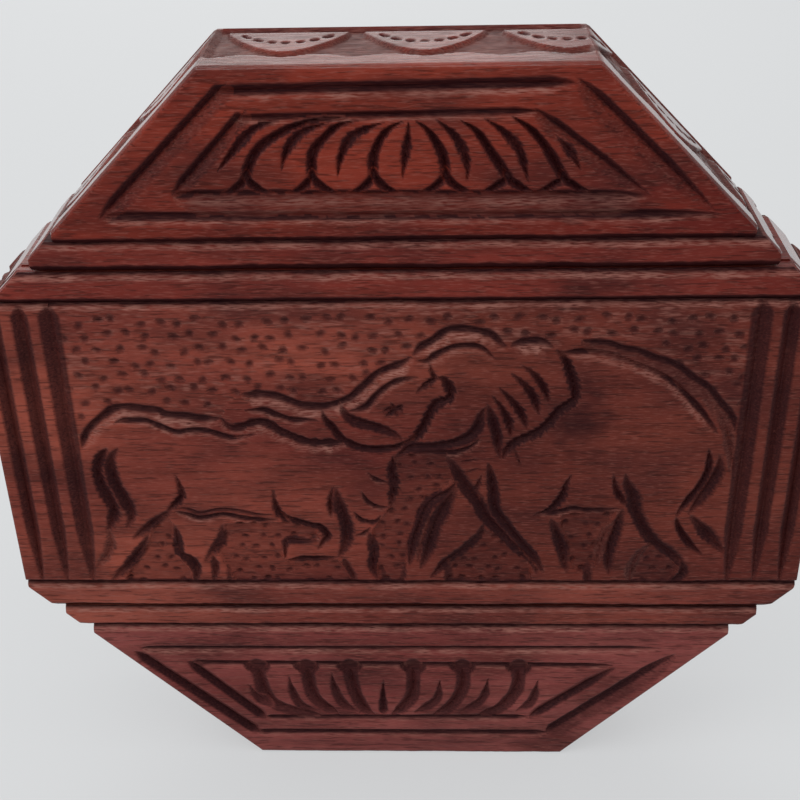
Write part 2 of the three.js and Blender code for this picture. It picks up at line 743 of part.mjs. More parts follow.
// Lid board: two grooves, open at the right end, ride on the lid rails
function lidBoard() {
  const body = board(
    sliceOutline(lidBottom, lidBoardTop, lidSideNotch, 0),
    boardSection(-halfDepth, halfDepth, lidBottom, lidBoardTop, lidSeamChamfer - slideGap, seamChamfer));
  const grooveStart = -railEnd - slideGap;
  const frontGroove = prismX(railSection(-1, slideGap), grooveStart, halfWidth + beyond);
  const backGroove = prismX(railSection(1, slideGap), grooveStart, halfWidth + beyond);
  const strike = boltRoom(lidBottom - 1, boltHigh + boltTravel + slideGap);
  return body
    .subtract(frontGroove)
    .subtract(backGroove)
    .subtract(strike)
    .subtract(lidDowelHoles);
}

// Lid block, glued on the lid board
function lidBlock() {
  const body = board(
    sliceOutline(lidBoardTop, height, sideNotch, 0),
    boardSection(-halfDepth, halfDepth, lidBoardTop, height, seamChamfer, edgeBreak));
  const topHalf = halfWidth - cornerRun;
  const facetFall = Math.atan2(height - upperCorner, cornerRun) * 180 / Math.PI;
  const leftPetals = leftFacetPetals.map((middle) => -middle);
  return body
    .subtract(borderCarving(upperBorder, upperField, true))
    .subtract(lowPetals(topPetals, 0, height, 0))
    .subtract(lowPetals(rightFacetPetals, topHalf, height, facetFall))
    .subtract(lowPetals(leftPetals, -topHalf, height, -facetFall))
    .subtract(lidDowelHoles);
}

function toMesh(name, solid, material) {
  const { vertProperties, triVerts } = solid.getMesh();
  const geometry = new THREE.BufferGeometry();
  geometry.setAttribute('position', new THREE.BufferAttribute(new Float32Array(vertProperties), 3));
  geometry.setIndex(new THREE.BufferAttribute(new Uint32Array(triVerts), 1));
  geometry.computeVertexNormals();
  const mesh = new THREE.Mesh(geometry, material);
  mesh.name = name;
  return mesh;
}

const box = new THREE.Group();

const carcass = new THREE.Group();
carcass.add(
  toMesh('base_block', baseBlock(), varnishedWood),
  toMesh('base_board', baseBoard(), varnishedWood),
  toMesh('tray_stop_peg', trayStopPeg(), innerWood),
  toMesh('floor_board', floorBoard(), varnishedWood),
  toMesh('front_panel', frontPanel(), varnishedWood),
  toMesh('back_panel', panel(false), varnishedWood),
  toMesh('left_end_block', endBlock(-1), varnishedWood),
  toMesh('right_end_block', rightEndBlock(), varnishedWood),
  toMesh('rail_frame', railFrame(), varnishedWood),
  toMesh('cover_stop_peg', coverStopPeg(), innerWood),
  toMesh('escutcheon', escutcheon(), brass),
  toMesh('front_rail', lidRail(-1), innerWood),
  toMesh('back_rail', lidRail(1), innerWood));
box.add(carcass);

const tray = new THREE.Group();
tray.add(
  toMesh('key_tray', keyTray(), varnishedWood),
  toMesh('key', key(), brass));
box.add(tray);

box.add(toMesh('keyhole_slide', keyholeSlide(), varnishedWood));
box.add(toMesh('lock_bolt', lockBolt(), brass));

const lid = new THREE.Group();
lid.add(
  toMesh('lid_board', lidBoard(), varnishedWood),
  toMesh('lid_block', lidBlock(), varnishedWood));
box.add(lid);

// Dowels, a left and a right one at each joint
const dowelJoints = [
  ['base_dowel', baseDowelX, baseDowelY, baseDowelDiameter, baseDowelBottom, baseDowelTop, carcass],
  ['floor_dowel', postDowelX, postDowelY, postDowelDiameter, floorDowelBottom, floorDowelTop, carcass],
  ['rail_dowel', postDowelX, postDowelY, postDowelDiameter, railDowelBottom, railDowelTop, carcass],
  ['lid_dowel', lidDowelX, 0, lidDowelDiameter, lidDowelBottom, lidDowelTop, lid],
];
for (const [name, x, y, diameter, z0, z1, group] of dowelJoints) {
  group.add(toMesh(`${name}_left`, rod(-x, y, diameter, z0, z1), innerWood));
  group.add(toMesh(`${name}_right`, rod(x, y, diameter, z0, z1), innerWood));
}

export default box;
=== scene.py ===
# Carved octagonal puzzle box, standing on one edge of its octagon.
# Everything is in metres in the CAD frame; sizes are written in millimetres.
import math

import bmesh
import bpy
import numpy as np
from mathutils import Matrix, Vector


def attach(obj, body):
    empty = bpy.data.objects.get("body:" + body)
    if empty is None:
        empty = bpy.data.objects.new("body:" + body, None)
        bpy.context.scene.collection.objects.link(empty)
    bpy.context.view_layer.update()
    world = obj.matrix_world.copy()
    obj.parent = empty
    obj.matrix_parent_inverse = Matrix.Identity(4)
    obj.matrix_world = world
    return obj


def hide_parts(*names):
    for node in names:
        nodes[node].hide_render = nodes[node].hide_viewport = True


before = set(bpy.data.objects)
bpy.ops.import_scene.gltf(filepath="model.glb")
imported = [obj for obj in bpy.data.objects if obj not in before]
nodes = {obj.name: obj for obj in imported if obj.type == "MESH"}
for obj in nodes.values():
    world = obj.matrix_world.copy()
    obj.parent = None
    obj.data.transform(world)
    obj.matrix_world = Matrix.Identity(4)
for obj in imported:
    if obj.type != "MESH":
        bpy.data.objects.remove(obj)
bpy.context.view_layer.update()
scene = bpy.context.scene
millimetre = 0.001

# The table, the light and the camera
# The box stands on a pale table top in soft overhead light, and is seen from in front and
# from a little above the lid. None of this is part of the box.
table_colour = (0.69, 0.70, 0.705, 1)
pale_room_colour = (0.685, 0.70, 0.695, 1)
pale_floor_colour = (0.715, 0.725, 0.735, 1)
floor_glow = 0.65
table_reach = 6.0
table_gap = 0.00005


def new_object(name, bm):
    """Turns a bmesh into an object of the scene"""
    mesh = bpy.data.meshes.new(name)
    bm.to_mesh(mesh)
    bm.free()
    made = bpy.data.objects.new(name, mesh)
    scene.collection.objects.link(made)
    return made


def feed(tree, node, inputs):
    """Gives a node's inputs their values; an output of another node is linked"""
    for socket, value in inputs.items():
        if isinstance(value, bpy.types.NodeSocket):
            tree.links.new(value, node.inputs[socket])
        else:
            node.inputs[socket].default_value = value


def add_node(tree, kind, inputs):
    """Adds a shader node with its inputs"""
    node = tree.nodes.new("ShaderNode" + kind)
    feed(tree, node, inputs)
    return node


def calculate(tree, operation, first, second, clamp=False):
    """Adds a sum, a difference or a product of two values"""
    node = add_node(tree, "Math", {0: first, 1: second})
    node.operation = operation
    node.use_clamp = clamp
    return node.outputs["Value"]


def blend(tree, factor, first, second):
    """Mixes two colours"""
    node = add_node(tree, "Mix", {})
    node.data_type = "RGBA"
    feed(tree, node, {0: factor, 6: first, 7: second})
    return node.outputs[2]


def ramp(tree, value, low, high, to_low=0.0, to_high=1.0, kind="LINEAR"):
    """Maps one range of values onto another"""
    node = add_node(tree, "MapRange", {"Value": value, "From Min": low, "From Max": high, "To Min": to_low,
                                       "To Max": to_high})
    node.interpolation_type = kind
    return node.outputs["Result"]


def noise(tree, place, stretch, scale, detail):
    """Cloudy pattern, stretched along the axes"""
    vector = add_node(tree, "Mapping", {"Vector": place, "Scale": stretch}).outputs["Vector"]
    return add_node(tree, "TexNoise", {"Vector": vector, "Scale": scale, "Detail": detail}).outputs["Fac"]


def bump(tree, height, strength, distance):
    """Turns fine relief into a normal; the distance is in metres"""
    node = add_node(tree, "Bump", {"Height": height, "Strength": strength, "Distance": distance})
    return node.outputs["Normal"]


def new_material(name):
    """A material with its node tree, its shader and the coordinates of the object"""
    material = bpy.data.materials.new(name)
    material.use_nodes = True
    tree = material.node_tree
    place = add_node(tree, "TexCoord", {}).outputs["Object"]
    return material, tree, tree.nodes["Principled BSDF"], place


def background_rays(tree):
    """1 for the rays that meet the pale background: from the camera, off a gloss or through glass"""
    rays = add_node(tree, "LightPath", {}).outputs
    seen = calculate(tree, "ADD", rays["Is Camera Ray"], rays["Is Glossy Ray"], clamp=True)
    return calculate(tree, "ADD", seen, rays["Is Transmission Ray"], clamp=True)


bm = bmesh.new()
bmesh.ops.create_grid(bm, x_segments=1, y_segments=1, size=table_reach)
bmesh.ops.translate(bm, vec=(0, 0, -table_gap), verts=bm.verts)
table_top = new_object("table_top", bm)
table_paint = bpy.data.materials.new("matt_table_paint")
table_paint.use_nodes = True
paint_tree = table_paint.node_tree
paint = paint_tree.nodes["Principled BSDF"]
feed(paint_tree, paint, {"Base Color": table_colour, "Roughness": 0.9, "Specular IOR Level": 0.1})
floor_seen = add_node(paint_tree, "Emission", {"Color": pale_floor_colour})
floor_share = calculate(paint_tree, "MULTIPLY", background_rays(paint_tree), floor_glow)
floor_mix = add_node(paint_tree, "MixShader", {
    "Fac": floor_share, 1: paint.outputs["BSDF"], 2: floor_seen.outputs["Emission"]})
feed(paint_tree, paint_tree.nodes["Material Output"], {"Surface": floor_mix.outputs["Shader"]})
table_top.data.materials.append(table_paint)

room = bpy.data.worlds.new("pale_room")
scene.world = room
room.use_nodes = True
room_tree = room.node_tree
room_light = room_tree.nodes["Background"]
feed(room_tree, room_light, {"Color": (0.95, 0.98, 1.0, 1), "Strength": 0.60})
room_seen = add_node(room_tree, "Background", {"Color": pale_room_colour, "Strength": 1.0})
room_mix = add_node(room_tree, "MixShader", {
    "Fac": background_rays(room_tree), 1: room_light.outputs["Background"],
    2: room_seen.outputs["Background"]})
feed(room_tree, room_tree.nodes["World Output"], {"Surface": room_mix.outputs["Shader"]})


def soft_lamp(name, place, target, size, power, colour):
    """A square soft lamp that faces the target"""
    light = bpy.data.lights.new(name, "AREA")
    light.shape = "SQUARE"
    light.size = size
    light.energy = power
    light.color = colour
    lamp = bpy.data.objects.new(name, light)
    aim = Vector(target) - Vector(place)
    lamp.matrix_world = Matrix.Translation(place) @ aim.to_track_quat("-Z", "Y").to_matrix().to_4x4()
    scene.collection.objects.link(lamp)


soft_lamp("ceiling_lamp", (0, -0.5, 1.6), (0, 0, 0.05), 1.6, 6.9, (1.0, 0.99, 0.98))
soft_lamp("back_lamp", (-0.2, 1.1, 0.75), (0, 0, 0.12), 0.8, 4.6, (1.0, 0.985, 0.97))
soft_lamp("side_lamp", (-0.9, -0.5, 0.8), (0, 0, 0.09), 0.6, 3.0, (0.98, 0.99, 1.0))

camera_place = Vector((7.398, -254.477, 245.09)) * millimetre
camera_yaw = math.radians(-2.29)
camera_pitch = math.radians(30.48)
camera_roll = math.radians(-1.38)
camera_data = bpy.data.cameras.new("front_view")
camera_data.sensor_width = 36
camera_data.lens = 58.58
camera_data.shift_x = 0.008
camera_data.clip_start = 0.01
camera = bpy.data.objects.new("front_view", camera_data)
ahead = Vector((
    math.sin(camera_yaw) * math.cos(camera_pitch),
    math.cos(camera_yaw) * math.cos(camera_pitch),
    -math.sin(camera_pitch)))
level = Vector((math.cos(camera_yaw), -math.sin(camera_yaw), 0))
upright = level.cross(ahead)
rolled_level = level * math.cos(camera_roll) + upright * math.sin(camera_roll)
rolled_upright = upright * math.cos(camera_roll) - level * math.sin(camera_roll)
camera.matrix_world = Matrix.Translation(camera_place) @ Matrix((
    (rolled_level.x, rolled_upright.x, -ahead.x),
    (rolled_level.y, rolled_upright.y, -ahead.y),
    (rolled_level.z, rolled_upright.z, -ahead.z))).to_4x4()
scene.collection.objects.link(camera)
scene.camera = camera
scene.view_settings.view_transform = "Standard"

# Base block
# The foot of the box is one block of stained hardwood, sawn to the lower part of the octagon
# and carved by hand on both faces with a double border round a row of lotus petals. The tray's
# groove is ploughed in its top, and a peg and two dowels stand in it.
half_width = 90.0
half_depth = 15.0
box_height = 176.0
corner_run = 52.0
lower_corner = 53.0
upper_corner = 123.0
base_top = 41.0
seam_chamfer = 1.5
side_notch = 2.1
worn_arris = 1.2
slide_gap = 0.3
post_inner = 73.5
all_round = ("front", "back", "left", "right")
# How far a rounded corner falls back, as a share of its radius
corner_drop = 0.293
# A board starts as a cube from -1 to 1, and its outer vertices lie beyond this
grid_edge = 0.9999


def octagon_half(z):
    """Half the octagon's width at a height"""
    low = half_width - np.clip(lower_corner - z, 0, None) * corner_run / lower_corner
    high = half_width - np.clip(z - upper_corner, 0, None) * corner_run / (box_height - upper_corner)
    return np.minimum(low, high)


def wobble(travel, period, seed):
    """Smooth random waver along a line, from -1 to 1"""
    knot_count = 2048
    knots = np.random.default_rng(seed).uniform(-1, 1, knot_count)
    place = np.mod(travel / period + 500.0, knot_count - 1.0)
    return np.interp(place, np.arange(knot_count), knots)


def grit(across, up, size_across, size_up, seed):
    """Smooth random unevenness over a face, from -1 to 1"""
    count = 256
    table = np.random.default_rng(seed).uniform(-1, 1, (count, count))
    a = across / size_across
    b = up / size_up
    column = np.floor(a).astype(int)
    row = np.floor(b).astype(int)
    a = a - column
    b = b - row
    a = a * a * (3 - 2 * a)
    b = b * b * (3 - 2 * b)
    left = column % count
    right = (column + 1) % count
    lower = row % count
    upper = (row + 1) % count
    near = table[left, lower] * (1 - a) + table[right, lower] * a
    far = table[left, upper] * (1 - a) + table[right, upper] * a
    return near * (1 - b) + far * b


def flowing(points, steps=5):
    """A smooth line through the points"""
    given = np.array(points, dtype=float)
    ends = np.vstack([2 * given[0] - given[1], given, 2 * given[-1] - given[-2]])
    line = []
    for i in range(1, len(ends) - 2):
        a, b, c, d = ends[i - 1:i + 3]
        for step in range(steps):
            t = step / steps
            line.append(0.5 * (2 * b + (c - a) * t + (2 * a - 5 * b + 4 * c - d) * t * t
                               + (3 * b - a - 3 * c + d) * t ** 3))
    line.append(given[-1])
    return np.array(line)


def is_inside(corners, across, up):
    """Which points lie inside an outline"""
    inside = np.zeros(np.shape(across), dtype=bool)
    for (x0, z0), (x1, z1) in zip(corners, corners[1:] + corners[:1]):
        if z0 == z1:
            continue
        crosses = ((z0 > up) != (z1 > up)) & (across < (x1 - x0) * (up - z0) / (z1 - z0) + x0)
        inside = inside ^ crosses
    return inside


class CarvedFace:
    """A face seen square on: how deep it is cut, how dark with stain and painted shade,
    and how much pale torn wood, partly a painted highlight, it has
    """

    def __init__(self, across, up):
        self.across = across
        self.up = up
        self.depth = np.zeros(len(across))
        self.stain_and_shade = np.zeros(len(across))
        self.torn_and_highlight = np.zeros(len(across))

    def near(self, line, reach):
        """The points that lie within reach of a line's frame"""
        low = line.min(axis=0) - reach
        high = line.max(axis=0) + reach
        return np.nonzero((self.across > low[0]) & (self.across < high[0])
                          & (self.up > low[1]) & (self.up < high[1]))[0]

    def measure(self, line, found):
        """Distance to the line, the side it is on, and how far along it"""
        across = self.across[found]
        up = self.up[found]
        best = np.full(len(found), 1e9)
        side = np.ones(len(found))
        travel = np.zeros(len(found))
        run = 0.0
        for start, stop in zip(line, line[1:]):
            step = stop - start
            length = math.hypot(step[0], step[1])
            if length < 1e-6:
                continue
            t = np.clip(((across - start[0]) * step[0] + (up - start[1]) * step[1]) / length ** 2, 0, 1)
            off_across = across - start[0] - t * step[0]
            off_up = up - start[1] - t * step[1]
            distance = np.hypot(off_across, off_up)
            closer = distance < best
            best[closer] = distance[closer]
            side[closer] = np.where(step[0] * off_up - step[1] * off_across > 0, 1.0, -1.0)[closer]
            travel[closer] = (run + t * length)[closer]
            run += length
        return best, side, travel, run

    def cut(self, points, width, depth, lean=0.0, taper=(5.0, 5.0), stain_and_shade=1.0, ragged=0.12, teeth=0.0,
            torn_and_highlight=0.0, reach=1.0, wash=0.0, smooth=True, seed=1):
        """A V-tool cut; a positive lean widens its left flank, seen along the cut. The steep flank, mostly
        facing down, is darkened all over with stain and painted shade, and the wide one as far up as reach,
        with a thin wash above; pale torn wood, partly a painted highlight, goes on the wide flank only;
        teeth are the steps of a gouge"""
        line = flowing(points) if smooth else np.array(points, dtype=float)
        widths = np.atleast_1d(np.array(width, dtype=float))
        found = self.near(line, widths.max() * (1 + abs(lean)) + 0.5)
        if len(found) == 0:
            return
        distance, side, travel, run = self.measure(line, found)
        start = np.clip(travel / taper[0], 0, 1) if taper[0] > 0 else 1.0
        stop = np.clip((run - travel) / taper[1], 0, 1) if taper[1] > 0 else 1.0
        ends = np.sqrt(start * stop)
        half = 0.5 * np.interp(travel / run, np.linspace(0, 1, len(widths)), widths)
        waver = 1 + ragged * (wobble(travel, 1.5, seed) + 0.6 * wobble(travel + 40 * side, 3.4, seed + 7))
        gouge_step = 1.7
        steps = travel / gouge_step + 0.4 * side + 0.3 * wobble(travel, 4.0, seed + 9)
        waver = waver + teeth * (np.mod(steps, 1) - 0.5)
        flank = half * (1 + lean * side) * waver * ends + 1e-4
        across_cut = np.clip(1 - distance / flank, 0, 1)
        wide_side = side * lean >= 0
        hollow = depth * ends * across_cut * (0.5 + 0.5 * across_cut)
        self.depth[found] = np.maximum(self.depth[found], hollow)
        # Stain and painted shade: the steep flank, mostly the one facing down, is darkened all over, the
        # wide one only up to reach, and older darkening fades under the wide flank.
        stained = np.where(wide_side, reach, 1.0)
        dark = np.clip((across_cut - 1 + stained) * np.clip(flank / 0.45, 1.5, 5), 0, 1)
        dark = stain_and_shade * np.maximum(dark, wash * np.clip(across_cut * 4, 0, 1)) * ends ** 0.5
        faded = np.where(wide_side & (across_cut > 0), 0.6, 1.0)
        self.stain_and_shade[found] = np.maximum(self.stain_and_shade[found] * faded, dark)
        # Pale torn wood on the wide flank only, mostly the one facing up: torn fibres and a painted
        # highlight.
        if torn_and_highlight > 0:
            band = np.clip(across_cut * 2.5, 0, 1) * np.clip((1 - across_cut) * 2.2, 0, 1)
            band = band * np.where(wide_side, 1.0, 0.0) * (0.7 + 0.5 * wobble(travel, 3.1, seed + 11))
            self.torn_and_highlight[found] = np.maximum(self.torn_and_highlight[found], torn_and_highlight * band * ends)

    def groove(self, start, stop, width, depth, lean, taper=(3, 8), reach=0.3, torn_and_highlight=0.9, wash=0.0, seed=1):
        """A straight V-groove cut along a batten"""
        self.cut([start, stop], width, depth, lean=lean, taper=taper, ragged=0.035, torn_and_highlight=torn_and_highlight, reach=reach,
                 wash=wash, smooth=False, seed=seed)

    def border(self, grooves, seed):
        """Straight grooves with flanks darkened by stain and painted shade: ends, width, depth, lean, taper,
        reach, torn wood with a painted highlight, and wash
        """
        for i, (start, stop, width, depth, lean, taper, reach, torn_and_highlight, wash) in enumerate(grooves):
            self.groove(start, stop, width, depth, lean, taper, reach, torn_and_highlight, wash, seed + i)

    def chip(self, legs, depth, stain_and_shade=1.0):
        """A three-cornered chip that slopes down from two legs"""
        found = np.nonzero(is_inside(legs, self.across, self.up))[0]
        distance = self.measure(np.array(legs, dtype=float), found)[0]
        self.depth[found] = np.maximum(self.depth[found], depth * np.clip(distance / 1.3, 0, 1))
        floor = 1 - 0.5 * np.clip((distance - 0.8) / 0.5, 0, 1)
        self.stain_and_shade[found] = np.maximum(self.stain_and_shade[found], stain_and_shade * np.clip(distance / 0.3, 0, 1) * floor)

    def dark_cloud(self, x, z, half_across, half_up, stain_and_shade):
        """A soft cloud of extra darkening"""
        away = np.hypot((self.across - x) / half_across, (self.up - z) / half_up)
        cloud = np.clip(1.2 - away + 0.35 * grit(self.across, self.up, 2.6, 1.6, 5), 0, 1)
        self.stain_and_shade = np.maximum(self.stain_and_shade, stain_and_shade * cloud)

    def punch(self, spots, radius, depth, stain_and_shade=0.9):
        """Marks of a nail, no two alike"""
        for i, (x, z) in enumerate(spots):
            close = (np.abs(self.across - x) < 2 * radius) & (np.abs(self.up - z) < 2 * radius)
            found = np.nonzero(close)[0]
            right = self.across[found] - x
            above = self.up[found] - z
            turn = 2.4 * i
            angle = np.arctan2(above, right)
            shape = 1 + 0.14 * np.sin(2 * angle + turn) + 0.06 * np.sin(5 * angle + 1.7 * turn)
            bowl = np.clip(1 - (np.hypot(right * 0.85, above) / (radius * shape)) ** 2, 0, 1)
            self.depth[found] += depth * bowl
            self.stain_and_shade[found] = np.maximum(self.stain_and_shade[found], stain_and_shade * bowl)

    def tool_marks(self, height, seed):
        """Long shallow marks of the plane and the scraper, along the grain"""
        long_marks = grit(self.across, self.up, 9.0, 0.7, seed)
        short_marks = grit(self.across, self.up, 3.0, 0.4, seed + 1)
        self.depth += height * (0.5 + 0.5 * (long_marks + 0.6 * short_marks))


def arris(distance, radius):
    """How far a rounded edge has dropped at a distance from its line"""
    if radius == 0:
        return np.zeros(len(distance))
    inside = np.clip(radius - distance, 0, radius)
    return np.minimum(radius - np.sqrt(radius ** 2 - inside ** 2), corner_drop * radius)


def seam_cut(distance, size, travel, seed):
    """The hand-cut chamfer that makes half of a V-groove over a seam"""
    ragged = size * (1 + 0.10 * wobble(travel, 8.0, seed) + 0.06 * wobble(travel, 1.2, seed + 1))
    return np.clip(ragged - distance, 0, None)


def shape_board(name, low, high, half, cells, fine=all_round, front=-half_depth, back=half_depth,
                low_edge=seam_chamfer, high_edge=seam_chamfer, worn=worn_arris, front_work=None,
                back_work=None, end_work=None, top_work=None, edged=("front", "back"), inner_end=0, seed=1):
    """One board of the stack, gridded on its fine faces and carved. Its outline is half on both sides, and
    straight at an inner end (-1 or 1). Edges are chamfer sizes or 0, cut on the edged faces"""
    touching = 1e-4
    planes = {"front": (1, -1), "back": (1, 1), "left": (0, -1), "right": (0, 1), "top": (2, 1)}
    bm = bmesh.new()
    bmesh.ops.create_cube(bm, size=2)
    for axis in range(3):
        others = [k for k in range(3) if k != axis]
        crossed = [planes[face] for face in fine if planes[face][0] != axis]
        chosen = []
        for edge in bm.edges:
            a, b = (v.co for v in edge.verts)
            along = all(abs(a[k] - b[k]) < touching for k in others)
            if along and any(abs(a[across] - place) < touching for across, place in crossed):
                chosen.append(edge)
        if chosen and cells[axis] > 1:
            bmesh.ops.subdivide_edges(bm, edges=chosen, cuts=cells[axis] - 1, use_grid_fill=True)
    piece = new_object(name, bm)
    mesh = piece.data

    count = len(mesh.vertices)
    unit = np.empty(count * 3)
    mesh.vertices.foreach_get("co", unit)
    u, v, w = unit.reshape(-1, 3).T
    ease = corner_drop * worn
    bottom = low if low_edge > 0 else low + ease
    top = high if high_edge > 0 else high - ease
    z = bottom + (w + 1) / 2 * (top - bottom)

    def outline(z, side):
        """The edge at a height, on the left (-1) or the right (1)"""
        return np.full(len(z), -side * post_inner) if side == inner_end else side * half(z)

    line = {}
    lean = {}
    for side in (-1, 1):
        line[side] = outline(z, side)
        step = 0.05
        slope = (outline(z + step, side) - outline(z - step, side)) / (2 * step)
        lean[side] = 1 / np.hypot(1, slope)
    start = line[-1] + (ease / lean[-1] if inner_end != -1 else 0)
    stop = line[1] - (ease / lean[1] if inner_end != 1 else 0)
    x = start + (u + 1) / 2 * (stop - start)
    y = front + (v + 1) / 2 * (back - front)
    stain_and_shade = np.zeros(count)
    torn_and_highlight = np.zeros(count)

    def dress(chosen, work, mirrored, is_edged):
        """Carves the front or the back and wears its edges; gives the depth of the cuts"""
        across = x[chosen]
        up = z[chosen]
        face = CarvedFace(-across if mirrored else across, up)
        if work:
            work(face)
        drop = face.depth
        if is_edged:
            for distance, size, upper in ((up - low, low_edge, False), (high - up, high_edge, True)):
                if size > 0:
                    chamfer = seam_cut(distance, size, across, seed + 3 * upper)
                    share = chamfer / size
                    drop = np.maximum(drop, chamfer)
                    # A board's lower chamfer faces down and is darkened nearly all over, stain and painted
                    # shade;
                    # its upper one faces up and is darkened only deep in the seam.
                    face.stain_and_shade = np.maximum(face.stain_and_shade, np.clip(share * 3.5 - (1.9 if upper else 0.1), 0, 1))
                    # The upper chamfer, facing up, gets pale torn wood: torn fibres and a painted highlight.
                    if upper:
                        rough = np.clip(share * 5, 0, 1) * (0.75 + 0.4 * wobble(across, 4.0, seed + 20))
                        face.torn_and_highlight = np.maximum(face.torn_and_highlight, 0.85 * rough)
                else:
                    drop = np.maximum(drop, arris(distance, worn))
            for side in (-1, 1):
                if side != inner_end:
                    to_end = side * (line[side][chosen] - across) * lean[side][chosen]
                    drop = np.maximum(drop, arris(to_end, worn))
        stain_and_shade[chosen] = face.stain_and_shade
        torn_and_highlight[chosen] = face.torn_and_highlight
        return drop

    def fit_between(chosen, rim, place):
        """Stretches an end or the top between the dressed front and back, and gives its worn edges"""
        near = np.full(place.max() + 1, front)
        far = np.full(place.max() + 1, back)
        near[place[on_front & rim]] = y[on_front & rim]
        far[place[on_back & rim]] = y[on_back & rim]
        near = near[place[chosen]]
        far = far[place[chosen]]
        y[chosen] = near + (v[chosen] + 1) / 2 * (far - near)
        return np.maximum(arris(y[chosen] - near, worn), arris(far - y[chosen], worn))

    on_front = v < -grid_edge
    on_back = v > grid_edge
    y[on_front] = front + dress(on_front, front_work, False, "front" in edged)
    y[on_back] = back - dress(on_back, back_work, True, "back" in edged)
    row = np.rint((w + 1) / 2 * cells[2]).astype(int)
    column = np.rint((u + 1) / 2 * cells[0]).astype(int)
    between = ~on_front & ~on_back
    for side in (-1, 1):
        at_end = u * side > grid_edge
        chosen = between & at_end
        if chosen.any():
            edges = fit_between(chosen, at_end, row)
            face = CarvedFace(y[chosen], (z[chosen] - low) / lean[side][chosen])
            if end_work:
                end_work(face, side)
            x[chosen] = line[side][chosen] - side * np.maximum(face.depth, edges) / lean[side][chosen]
            stain_and_shade[chosen] = face.stain_and_shade
            torn_and_highlight[chosen] = face.torn_and_highlight
    on_top = w > grid_edge
    chosen = between & on_top & (np.abs(u) < grid_edge)
    if chosen.any():
        edges = fit_between(chosen, on_top, column)
        face = CarvedFace(x[chosen], y[chosen])
        if top_work:
            top_work(face)
        z[chosen] = high - np.maximum(face.depth, edges)
        stain_and_shade[chosen] = face.stain_and_shade
        torn_and_highlight[chosen] = face.torn_and_highlight

    placed = np.stack([x, y, z], axis=1) * millimetre
    mesh.vertices.foreach_set("co", placed.ravel())
    for attribute, values in (("stain_and_shade", stain_and_shade), ("torn_and_highlight", torn_and_highlight)):
        mesh.attributes.new(attribute, "FLOAT", "POINT").data.foreach_set("value", np.clip(values, 0, 1))
    mesh.update()
    return piece


def bar(x0, x1, y0, y1, z0, z1):
    """A square-edged cutter or strip"""
    bm = bmesh.new()
    middle = Vector((x0 + x1, y0 + y1, z0 + z1)) * 0.5 * millimetre
    size = Vector((x1 - x0, y1 - y0, z1 - z0)) * millimetre
    bmesh.ops.create_cube(bm, size=1)
    bmesh.ops.scale(bm, vec=size, verts=bm.verts)
    bmesh.ops.translate(bm, vec=middle, verts=bm.verts)
    return bm


def round_bar(x, y, diameter, z0, z1):
    """An upright round cutter"""
    bm = bmesh.new()
    radius = diameter / 2 * millimetre
    bmesh.ops.create_cone(bm, cap_ends=True, segments=24, radius1=radius, radius2=radius,
                          depth=(z1 - z0) * millimetre)
    bmesh.ops.translate(bm, vec=Vector((x, y, (z0 + z1) / 2)) * millimetre, verts=bm.verts)
    return bm


def smooth_shade(piece):
    """Shades a piece smooth between its sharp edges"""
    piece.data.shade_smooth()
    piece.data.set_sharp_from_angle(angle=math.radians(38))


def cut_away(piece, cutters, operation="DIFFERENCE"):
    """Takes the cutters' shapes out of a piece, or adds them"""
    for cutter in cutters:
        tool = new_object("cutter", cutter)
        modifier = piece.modifiers.new("cut", "BOOLEAN")
        modifier.operation = operation
        modifier.solver = "MANIFOLD"
        modifier.object = tool
        cut_mesh = bpy.data.meshes.new_from_object(
            piece.evaluated_get(bpy.context.evaluated_depsgraph_get()))
        piece.modifiers.remove(modifier)
        cut_mesh.name = piece.name
        piece.data = cut_mesh
        bpy.data.objects.remove(tool)
    smooth_shade(piece)


